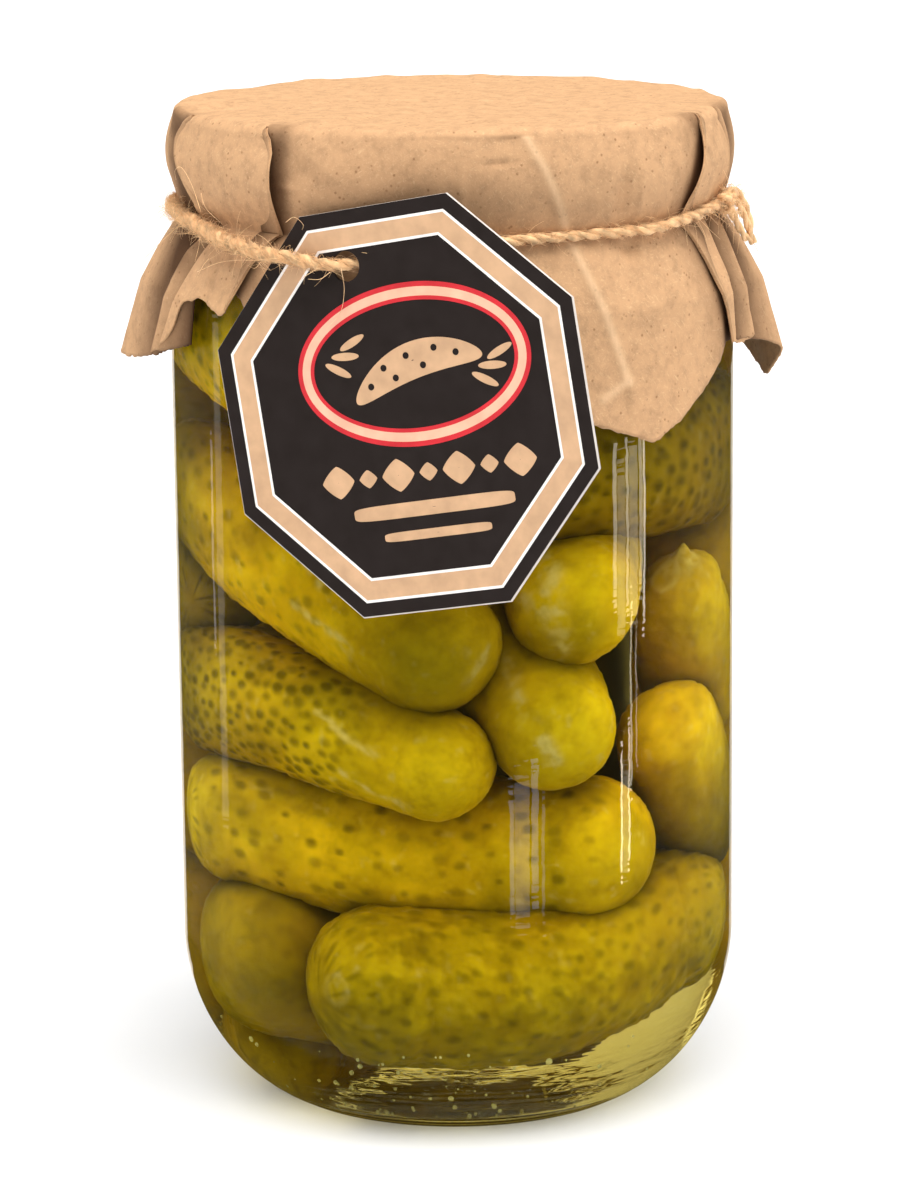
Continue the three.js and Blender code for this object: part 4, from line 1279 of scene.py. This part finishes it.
def plied_strands(path, thick, pitch, upright, closed, sides=14):
    """Two plies wound round a path, each a tube along a helix that turns once in each pitch.
    thick is the yarn's radius, one number or one for each point."""
    up, out = frames(path, upright, closed)
    n = len(path)
    thick = np.broadcast_to(thick, (n,))
    run = np.linalg.norm(np.diff(path, axis=0), axis=1).sum()
    turns = max(1, round(run / pitch))
    angle = 2 * np.pi * turns * np.arange(n) / (n if closed else n - 1)
    tubes = []
    for half in (0, np.pi):
        way = np.cos(angle + half)[:, None] * up + np.sin(angle + half)[:, None] * out
        tubes.append(swept(path + 0.44 * thick[:, None] * way, 0.62 * thick, sides, upright, 0.35, closed))
    return tubes


def tube_mesh(tubes, closed):
    """Points and faces of several tubes, wrapped when closed and capped by a pole when open."""
    points, faces, count = [], [], 0
    for tube in tubes:
        rows, cols = tube.shape[:2]
        quads = grid_quads(rows, cols, wrap_rows=closed, wrap_cols=True)
        if closed:
            full, made = tube.reshape(-1, 3), quads.tolist()
        else:
            full, made = close_poles(tube.reshape(-1, 3), quads, rows, cols)
        points.append(full)
        faces.extend([[i + count for i in f] for f in made])
        count += len(full)
    return np.concatenate(points), faces


def hairs(lines, thick):
    """Three-sided hairs that taper along their lines, an array of hairs by points."""
    n, segments = lines.shape[:2]
    ahead = np.gradient(lines, axis=1)
    ahead /= np.maximum(np.linalg.norm(ahead, axis=2, keepdims=True), 1e-9)
    side = np.cross(ahead, [0.3, 0.2, 0.93])
    side /= np.linalg.norm(side, axis=2, keepdims=True)
    up = np.cross(ahead, side)
    t = np.linspace(0, 1, segments)[None, :, None]
    r = np.broadcast_to(thick, (n,))[:, None, None] * (1 - 0.6 * t)
    thirds = (0, math.tau / 3, math.tau * 2 / 3)
    corners = [lines + r * (math.cos(a) * side + math.sin(a) * up) for a in thirds]
    ring = np.stack(corners, 2)
    quads = grid_quads(segments, 3, wrap_cols=True)
    tips = np.array([[2, 1, 0], [3 * segments - 3, 3 * segments - 2, 3 * segments - 1]])
    offset = (np.arange(n) * segments * 3)[:, None, None]
    return ring.reshape(-1, 3), [*(quads[None] + offset).reshape(-1, 4).tolist(),
                                 *(tips[None] + offset).reshape(-1, 3).tolist()]


def curling_lines(starts, ways, lengths, rng, segments=8):
    """Hairs that leave their starts along a way, bend by a steady random curl and droop a little."""
    bend = rng.normal(size=starts.shape) * 1.5
    bend -= ways * (bend * ways).sum(1, keepdims=True)
    t = np.linspace(0, 1, segments)[None, :, None]
    return starts[:, None] + lengths[:, None, None] * (
        ways[:, None] * t + 0.3 * bend[:, None] * t ** 2 + np.array([0, 0, -0.2]) * t ** 2)


def clinging_lines(route, thick, count, rng, weight, segments=10):
    """Hairs wound round the yarn with its twist: each lies on its surface and lifts off at its end."""
    up, out = frames(route, UP, True)
    n = len(route)
    step = np.linalg.norm(route[1] - route[0])
    length = rng.uniform(3, 9, count)
    first = rng.choice(n, count, p=weight / weight.sum())
    t = np.linspace(0, 1, segments)[None]
    way = rng.choice([-1, 1], count)[:, None]
    at = (first[:, None] + (way * length[:, None] * t / step).astype(int)) % n
    begin = rng.uniform(0, 2 * np.pi, count)[:, None]
    angle = begin + way * length[:, None] * t * rng.normal(0.9, 0.35, count)[:, None]
    lift = rng.gamma(1.3, 0.45, count)[:, None] * t ** 3
    away = thick[at] * (1.0 + 0.12 * rng.random(count)[:, None]) + lift
    around = np.cos(angle)[..., None] * up[at] + np.sin(angle)[..., None] * out[at]
    return route[at] + away[..., None] * around


def knot_coil():
    """The way out at the knot, its centre, and a trefoil that the yarn follows in it."""
    out = polar(KNOT_AT[0], 1.0, 0.0)
    centre = polar(*KNOT_AT)
    along = polar(KNOT_AT[0] + 90, 1.0, 0.0)
    turn = np.linspace(0, 2 * np.pi, 12, endpoint=False)[:, None]
    coil = centre + 1.15 * (np.sin(turn) + 0.8 * np.sin(2 * turn)) * along
    coil = coil + 0.95 * (np.cos(turn) - 0.8 * np.cos(2 * turn)) * UP + 0.7 * np.sin(3 * turn) * out
    return out, centre, coil


def twine_route():
    """Points along the yarn, their azimuths, its radius there, and how worn it is: a flat topped
    bell round the frayed stretch left of the tag."""
    route = closed_curve([polar(*p) for p in TWINE_ROUTE], 1500)
    azimuth = np.degrees(np.arctan2(route[:, 0], -route[:, 1]))
    wobble = 0.16 * rough_noise(np.stack([azimuth * 0.16] * 3, -1), 1.0, 4, 2)
    route = route + np.stack([0 * wobble, 0 * wobble, wobble], -1)
    worn = np.exp(-((azimuth + 58) / 34) ** 4)
    thick = 0.74 + 0.26 * worn + 0.05 * rough_noise(np.stack([azimuth * 0.3] * 3, -1), 1.0, 6, 2)
    return route, azimuth, thick, worn


def loose_fibres(route, weight, centre, out, rng):
    """Points and faces of the fuzz round the yarn and its knot, and of the longest fibres."""
    starts = route[rng.choice(len(route), 520, p=weight / weight.sum())]
    outward = starts * [1, 1, 0] / np.linalg.norm(starts * [1, 1, 0], axis=1, keepdims=True)
    ways = rng.normal(size=starts.shape) + 0.5 * outward
    lengths = np.minimum(rng.gamma(2.2, 0.9, len(starts)) + 0.6, 7)
    knotted = centre + rng.normal(size=(240, 3)) * [1.1, 1.1, 1.4]
    starts = np.concatenate([starts, knotted])
    ways = np.concatenate([ways, rng.normal(size=knotted.shape) + 0.4 * out])
    ways /= np.linalg.norm(ways, axis=1, keepdims=True)
    lengths = np.concatenate([lengths, rng.gamma(2, 0.8, len(knotted))])
    curls = curling_lines(starts, ways, lengths, rng)
    placed = np.stack([open_curve([polar(*p) for p in line], 24) for line in LONG_FIBRES])
    fuzz, fuzz_faces = hairs(curls, rng.uniform(0.025, 0.05, len(curls)))
    long, long_faces = hairs(placed, 0.06)
    return np.concatenate([fuzz, long]), [*fuzz_faces, *[[i + len(fuzz) for i in f] for f in long_faces]]


class JARDRESS_OT_twine(bpy.types.Operator):
    """Two-ply jute tied round the neck and through the tag, with its knot, loop and loose fibres"""
    bl_idname = "jardress.twine"
    bl_label = "Jute twine"

    def execute(self, context):
        rng = np.random.default_rng(8)
        bast = jute("jute_twisted", 1.0)
        route, azimuth, thick, worn = twine_route()
        points, faces = tube_mesh(plied_strands(route, thick, 6.4, UP, True), True)
        ring = make_mesh("twine_ring", points, faces, [bast])
        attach(ring, BODY)
        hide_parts("twine")

        out, centre, coil = knot_coil()
        points, faces = tube_mesh(plied_strands(closed_curve(coil, 180), 0.66, 4.5, out, True), True)
        knot = make_mesh("twine_knot", points, faces, [bast])
        tails = []
        for way in TWINE_LOOPS:
            line = open_curve([polar(*p) for p in way], 150)
            tails += plied_strands(line, 0.6, 5.0, out, False)
        points, faces = tube_mesh(tails, False)
        loop = make_mesh("twine_loop", points, faces, [bast])

        weight = 0.4 + 1.6 * worn + 0.7 * np.exp(-((azimuth - 66) / 12) ** 2)
        clinging = clinging_lines(route, thick, 1500, rng, weight)
        points, faces = hairs(clinging, rng.uniform(0.03, 0.06, len(clinging)))
        strands = make_mesh("twine_strands", points, faces, [bast])
        points, faces = loose_fibres(route, weight, centre, out, rng)
        fibres = make_mesh("twine_fibres", points, faces, [jute("jute_loose_fibre", 1.15)])
        for piece in (knot, loop, strands, fibres):
            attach(piece, BODY)
        return {"FINISHED"}


# Tag

def tag_place():
    """The tag's turn and centre: spun in its own plane, leant, turned about the vertical, then moved."""
    yaw, tilt, spin = (math.radians(v) for v in TAG_TURNS)
    turn = Matrix.Rotation(yaw, 3, "Z") @ Matrix.Rotation(math.pi / 2 + tilt, 3, "X") @ \
        Matrix.Rotation(spin, 3, "Z")
    return np.array(turn), np.array(TAG_CENTRE, float)


def on_tag(flat, height):
    """Points of the tag's plane, across and up, lifted off its back by a height."""
    turn, centre = tag_place()
    flat = np.asarray(flat, float)
    local = np.concatenate([flat, np.broadcast_to(height, flat.shape[:-1])[..., None]], -1)
    return local @ turn.T + centre


def octagon(angles, across):
    """Distance from the tag's centre to an octagon's edge at each angle."""
    corner = np.pi / 4
    away = (angles + corner / 2) % corner - corner / 2
    return across / 2 / np.cos(away)


def slab_between(inner, outer, low, high):
    """A closed flat ring between two outlines with the same number of points, from low to high."""
    soft = 0.12 * (high - low)
    mid_in = inner + (outer - inner) * 0.004
    mid_out = outer - (outer - inner) * 0.004
    points = np.stack([on_tag(flat, height) for flat, height in (
        (mid_in, high), (mid_out, high), (outer, high - soft), (outer, low + soft),
        (mid_out, low), (mid_in, low), (inner, low + soft), (inner, high - soft))])
    return points.reshape(-1, 3), grid_quads(*points.shape[:2], wrap_rows=True, wrap_cols=True)


def ring_of(angles, across):
    """Flat points of an octagon's outline at the given angles."""
    return np.stack([np.cos(angles), np.sin(angles)], -1) * octagon(angles, across)[:, None]


def spin(flat, degrees):
    """Flat points turned about the origin."""
    a = math.radians(degrees)
    return np.asarray(flat, float) @ np.array([[math.cos(a), math.sin(a)], [-math.sin(a), math.cos(a)]])


def filled(outline, centre, height):
    """A closed flat shape: its outline drawn in towards a centre, on the tag's face."""
    outline = np.asarray(outline, float)
    centre = np.asarray(centre, float)
    steps = [0.02, 0.5, 1.0]
    front = [on_tag(centre + (outline - centre) * s, height + PRINT_THICK) for s in steps]
    back = [on_tag(centre + (outline - centre) * s, height) for s in steps[::-1]]
    points = np.stack(front + back)
    quads = grid_quads(len(points), len(outline), wrap_rows=True, wrap_cols=True)
    return points.reshape(-1, 3), quads


class JARDRESS_OT_tag(bpy.types.Operator):
    """The octagonal card with its printed border and a plain gherkin motif"""
    bl_idname = "jardress.tag"
    bl_label = "Card tag"

    def execute(self, context):
        ink = printed_card("card_dark_ink", colour("card"))
        tan = printed_card("card_tan_ink", colour("card_tan"), 0.5)
        white = printed_card("card_white_ink", linear("#F6F0EA"), 0.5)
        red = printed_card("card_red_ink", colour("card_red"), 0.45)
        core = printed_card("card_cut_edge", linear("#CFC6BE"), 0.8)

        hole = np.array(TAG_HOLE)
        angles = np.sort(np.concatenate([np.linspace(0, 2 * np.pi, 160, endpoint=False), [
            math.atan2(c[1] - hole[1], c[0] - hole[0]) % (2 * np.pi) for c in self.corners()]]))
        way = np.stack([np.cos(angles), np.sin(angles)], -1)
        outer = hole + way * self.reach(hole, way)[:, None]
        inner = hole + way * TAG_HOLE_R
        points, quads = slab_between(inner, outer, 0.0, TAG_THICK)
        count = len(angles)
        loop_of_face = np.arange(len(quads)) // count
        # In the hole the cut wall takes the dark ink and not the pale core: painted shade inside the hole
        slots = np.isin(loop_of_face, (1, 2, 3)).astype(int)
        card = make_mesh("tag_card", points, quads, [ink, core], smooth=False, slots=slots)
        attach(card, BODY)
        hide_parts("tag")

        turn = np.linspace(0, 2 * np.pi, 64, endpoint=False) + np.pi / 8
        bands = [("tag_line_outer", 55.6, 54.8, white), ("tag_band", 54.8, 49.2, tan),
                 ("tag_line_inner", 49.2, 48.4, white)]
        for name, wide, narrow, material in bands:
            self.print_ring(name, ring_of(turn, narrow), ring_of(turn, wide), material)
        self.motif(red, tan, ink)
        return {"FINISHED"}

    def corners(self):
        """The eight corners of the card."""
        turn = np.arange(8) * np.pi / 4 + np.pi / 8
        return np.stack([np.cos(turn), np.sin(turn)], -1) * (TAG_ACROSS / 2 / math.cos(math.pi / 8))

    def reach(self, start, way):
        """Distance from a point inside the octagon to its edge in each direction."""
        turn = np.arange(8) * np.pi / 4
        normals = np.stack([np.cos(turn), np.sin(turn)], -1)
        speed = way @ normals.T
        room = TAG_ACROSS / 2 - normals @ start
        return np.where(speed > 1e-9, room / np.maximum(speed, 1e-9), 1e9).min(1)

    def keep(self, piece):
        """Every print rides with the card."""
        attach(piece, BODY)

    def print_ring(self, name, inner, outer, material):
        """One printed line or band between two outlines."""
        points, quads = slab_between(inner, outer, TAG_THICK, TAG_THICK + PRINT_THICK)
        self.keep(make_mesh(name, points, quads, [material], smooth=False))

    def motif(self, red, tan, dark):
        """A spotted gherkin between two dill sprigs in an oval with a double line, over a row of
        lozenges and two bars."""
        turn = np.linspace(0, 2 * np.pi, 96, endpoint=False)
        pink = printed_card("card_pink_ink", linear("#EFB79A"), 0.5)
        middle = np.array([2.6, 6.2])
        oval = np.stack([np.cos(turn) * 19.5, np.sin(turn) * 12.0], -1)
        wide = np.stack([np.cos(turn), np.sin(turn)], -1)
        rings = [("tag_oval_outer", 0.0, 0.75, red), ("tag_oval_middle", 0.75, 2.1, pink),
                 ("tag_oval_inner", 2.1, 2.7, red)]
        for name, near, far, material in rings:
            self.print_ring(name, middle + oval - wide * far, middle + oval - wide * near, material)
        body = np.stack([np.cos(turn) * 11.2, np.sin(turn) * 2.7 - 0.022 * (np.cos(turn) * 11.2) ** 2], -1)
        self.leaf("tag_gherkin", middle + [0, 0.6], body, 12, tan)
        spots = [(-8.0, -1.4), (-5.0, 0.5), (-3.6, -1.5), (-0.8, 1.0), (1.4, -1.2), (4.0, 0.6), (7.2, -1.2)]
        for k, spot in enumerate(spots):
            place = middle + [0, 0.6] + spin(spot, 12)
            self.leaf(f"tag_spot_{k + 1}", place, wide * 0.5, 0, dark, PRINT_THICK)
        for name, x, y, lean in (("left", -12.6, 0.6, -30), ("right", 11.4, -3.6, 150)):
            for k in range(3):
                small = np.stack([np.cos(turn) * 2.3, np.sin(turn) * 0.6], -1)
                place = middle + [x + 1.5 * k, y + 1.9 * k]
                self.leaf(f"tag_dill_{name}_{k + 1}", place, small, lean + 26 * k, tan)
        small = np.sign(wide) * np.abs(wide) ** 1.6
        for k in range(7):
            size = 2.7 if k % 2 == 0 else 1.5
            place = np.array([-13.0 + 5.1 * k, -9.6])
            self.leaf(f"tag_lozenge_{k + 1}", place, small * [size, size * 0.9], 0, tan)
        bar = np.sign(wide) * np.abs(wide) ** 0.35
        self.leaf("tag_bar_1", np.array([2.3, -14.8]), bar * [13.5, 1.1], 0, tan)
        self.leaf("tag_bar_2", np.array([2.3, -18.6]), bar * [9.0, 0.7], 0, tan)

    def leaf(self, name, place, outline, lean, material, lift=0.0):
        """One flat printed shape, leant by an angle in degrees."""
        points, quads = filled(place + spin(outline, lean), place, TAG_THICK + lift)
        self.keep(make_mesh(name, points, quads, [material], smooth=False))


class JARDRESS_OT_lid(bpy.types.Operator):
    """Gold lacquer on the cap that the paper hides"""
    bl_idname = "jardress.lid"
    bl_label = "Lid finish"

    def execute(self, context):
        lid = next(o for o in bpy.data.objects if o.get("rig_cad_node") == "lid")
        lid.data.materials.clear()
        lid.data.materials.append(lacquered_tinplate())
        return {"FINISHED"}


# Stage

def strip_light(name, azimuth, low, high, width, radiance, tint):
    """A strip softbox that stands upright between two heights and is seen only as a reflection.
    Its power is its area times pi times how bright it looks."""
    data = bpy.data.lights.new(name, "AREA")
    data.shape = "RECTANGLE"
    data.size, data.size_y = width * MM, (high - low) * MM
    data.energy = math.pi * data.size * data.size_y * radiance
    data.color = tint
    lamp = bpy.data.objects.new(name, data)
    place = Vector(polar(azimuth, LIGHT_DISTANCE, (low + high) / 2)) * MM
    lamp.location = place
    lamp.rotation_mode = "QUATERNION"
    lamp.rotation_quaternion = (place * Vector((-1, -1, 0))).to_track_quat("-Z", "Y")
    lamp.visible_diffuse = False
    lamp.visible_transmission = False
    bpy.context.scene.collection.objects.link(lamp)


def sky_light(name, azimuth, elevation, strength, spread):
    """Broad soft light from far away: a sun lamp with a wide disc, not seen in reflections."""
    data = bpy.data.lights.new(name, "SUN")
    data.energy = strength
    data.angle = math.radians(spread)
    lamp = bpy.data.objects.new(name, data)
    e = math.radians(elevation)
    way = Vector(polar(azimuth, math.cos(e), math.sin(e)))
    lamp.rotation_mode = "QUATERNION"
    lamp.rotation_quaternion = way.to_track_quat("Z", "Y")
    lamp.visible_glossy = False
    bpy.context.scene.collection.objects.link(lamp)


def studio_world():
    """The room: even and dim as light, so the lamps shape the jar, dimmer and golden where it is
    mirrored, as with flags round the set, and bright where it is seen, also through the glass."""
    world = bpy.data.worlds.new("studio_white")
    world.use_nodes = True
    world.node_tree.nodes.clear()
    path = add_node(world, "ShaderNodeLightPath")
    scattered = add_node(world, "ShaderNodeMath", {"operation": "GREATER_THAN", 1: 0.5},
                         {0: (path, "Diffuse Depth")})
    mirrored = add_node(world, "ShaderNodeMath", {"operation": "GREATER_THAN", 1: 0.5},
                        {0: (path, "Glossy Depth")})
    room = add_node(world, "ShaderNodeBackground", {"Color": (1, 1, 1, 1), "Strength": 0.32})
    flags = add_node(world, "ShaderNodeBackground", {"Color": (1, 0.72, 0.15, 1), "Strength": 0.13})
    bright = add_node(world, "ShaderNodeBackground", {"Color": (1, 1, 1, 1), "Strength": 1.0})
    seen = add_node(world, "ShaderNodeMixShader", links={0: mirrored, 1: bright, 2: flags})
    light = add_node(world, "ShaderNodeMixShader", links={0: scattered, 1: seen, 2: room})
    add_node(world, "ShaderNodeOutputWorld", links={"Surface": light})
    return world


def place_camera():
    """The photo's camera: its axes come from the elevation and roll, its place from the distance."""
    e, roll = math.radians(CAMERA_ELEVATION), math.radians(CAMERA_ROLL)
    back = Vector((0, -math.cos(e), math.sin(e)))
    right = Vector((1, 0, 0))
    up = Vector((0, math.sin(e), math.cos(e)))
    side = math.cos(roll) * right - math.sin(roll) * up
    rise = math.sin(roll) * right + math.cos(roll) * up
    data = bpy.data.cameras.new("photo_camera")
    data.lens = FOCAL_MM
    data.sensor_width = 36
    data.shift_x, data.shift_y = CAMERA_SHIFT
    data.clip_start, data.clip_end = 0.05, 50
    camera = bpy.data.objects.new("photo_camera", data)
    axes = Matrix((side, rise, back)).transposed().to_4x4()
    camera.matrix_world = Matrix.Translation((Vector(AIM) + back * CAMERA_DISTANCE) * MM) @ axes
    bpy.context.scene.collection.objects.link(camera)
    bpy.context.scene.camera = camera


class JARDRESS_OT_stage(bpy.types.Operator):
    """Pale floor, soft studio light and the camera at the photo's angle"""
    bl_idname = "jardress.stage"
    bl_label = "Stage"

    def execute(self, context):
        corners = FLOOR_HALF * np.array([(-1, -1, 0), (1, -1, 0), (1, 1, 0), (-1, 1, 0)])
        floor = make_mesh("floor", corners, np.array([[0, 1, 2, 3]]), [pale_floor()], smooth=False)
        floor.visible_glossy = False
        for name, values in SKY_LIGHTS.items():
            sky_light(name, *values)
        for name, values in STRIP_LIGHTS.items():
            strip_light(name, *values)
        context.scene.world = studio_world()
        context.scene.view_settings.view_transform = "Standard"
        place_camera()
        return {"FINISHED"}


class JARDRESS_PT_panel(bpy.types.Panel):
    bl_label = "Pickle jar"
    bl_idname = "JARDRESS_PT_panel"
    bl_space_type = "VIEW_3D"
    bl_region_type = "UI"
    bl_category = "Pickle jar"

    def draw(self, context):
        for group in (context.scene.pickle_jar_sizes, context.scene.pickle_jar_paper,
                      context.scene.pickle_jar_colours):
            for key in group.__annotations__:
                self.layout.prop(group, key)
        for operator in OPERATORS:
            self.layout.operator(operator.bl_idname)


OPERATORS = (JARDRESS_OT_stage, JARDRESS_OT_glass, JARDRESS_OT_gherkins, JARDRESS_OT_lid,
             JARDRESS_OT_paper, JARDRESS_OT_twine, JARDRESS_OT_tag)
CLASSES = (JarSizes, PaperSizes, Colours, *OPERATORS, JARDRESS_PT_panel)


def register():
    for cls in CLASSES:
        bpy.utils.register_class(cls)
    bpy.types.Scene.pickle_jar_sizes = bpy.props.PointerProperty(type=JarSizes)
    bpy.types.Scene.pickle_jar_paper = bpy.props.PointerProperty(type=PaperSizes)
    bpy.types.Scene.pickle_jar_colours = bpy.props.PointerProperty(type=Colours)


def unregister():
    del bpy.types.Scene.pickle_jar_sizes
    del bpy.types.Scene.pickle_jar_paper
    del bpy.types.Scene.pickle_jar_colours
    for cls in reversed(CLASSES):
        bpy.utils.unregister_class(cls)


def main():
    register()
    for name in ("stage", "glass", "gherkins", "lid", "paper", "twine", "tag"):
        getattr(bpy.ops.jardress, name)()
    bpy.context.view_layer.update()


if __name__ == "__main__":
    main()
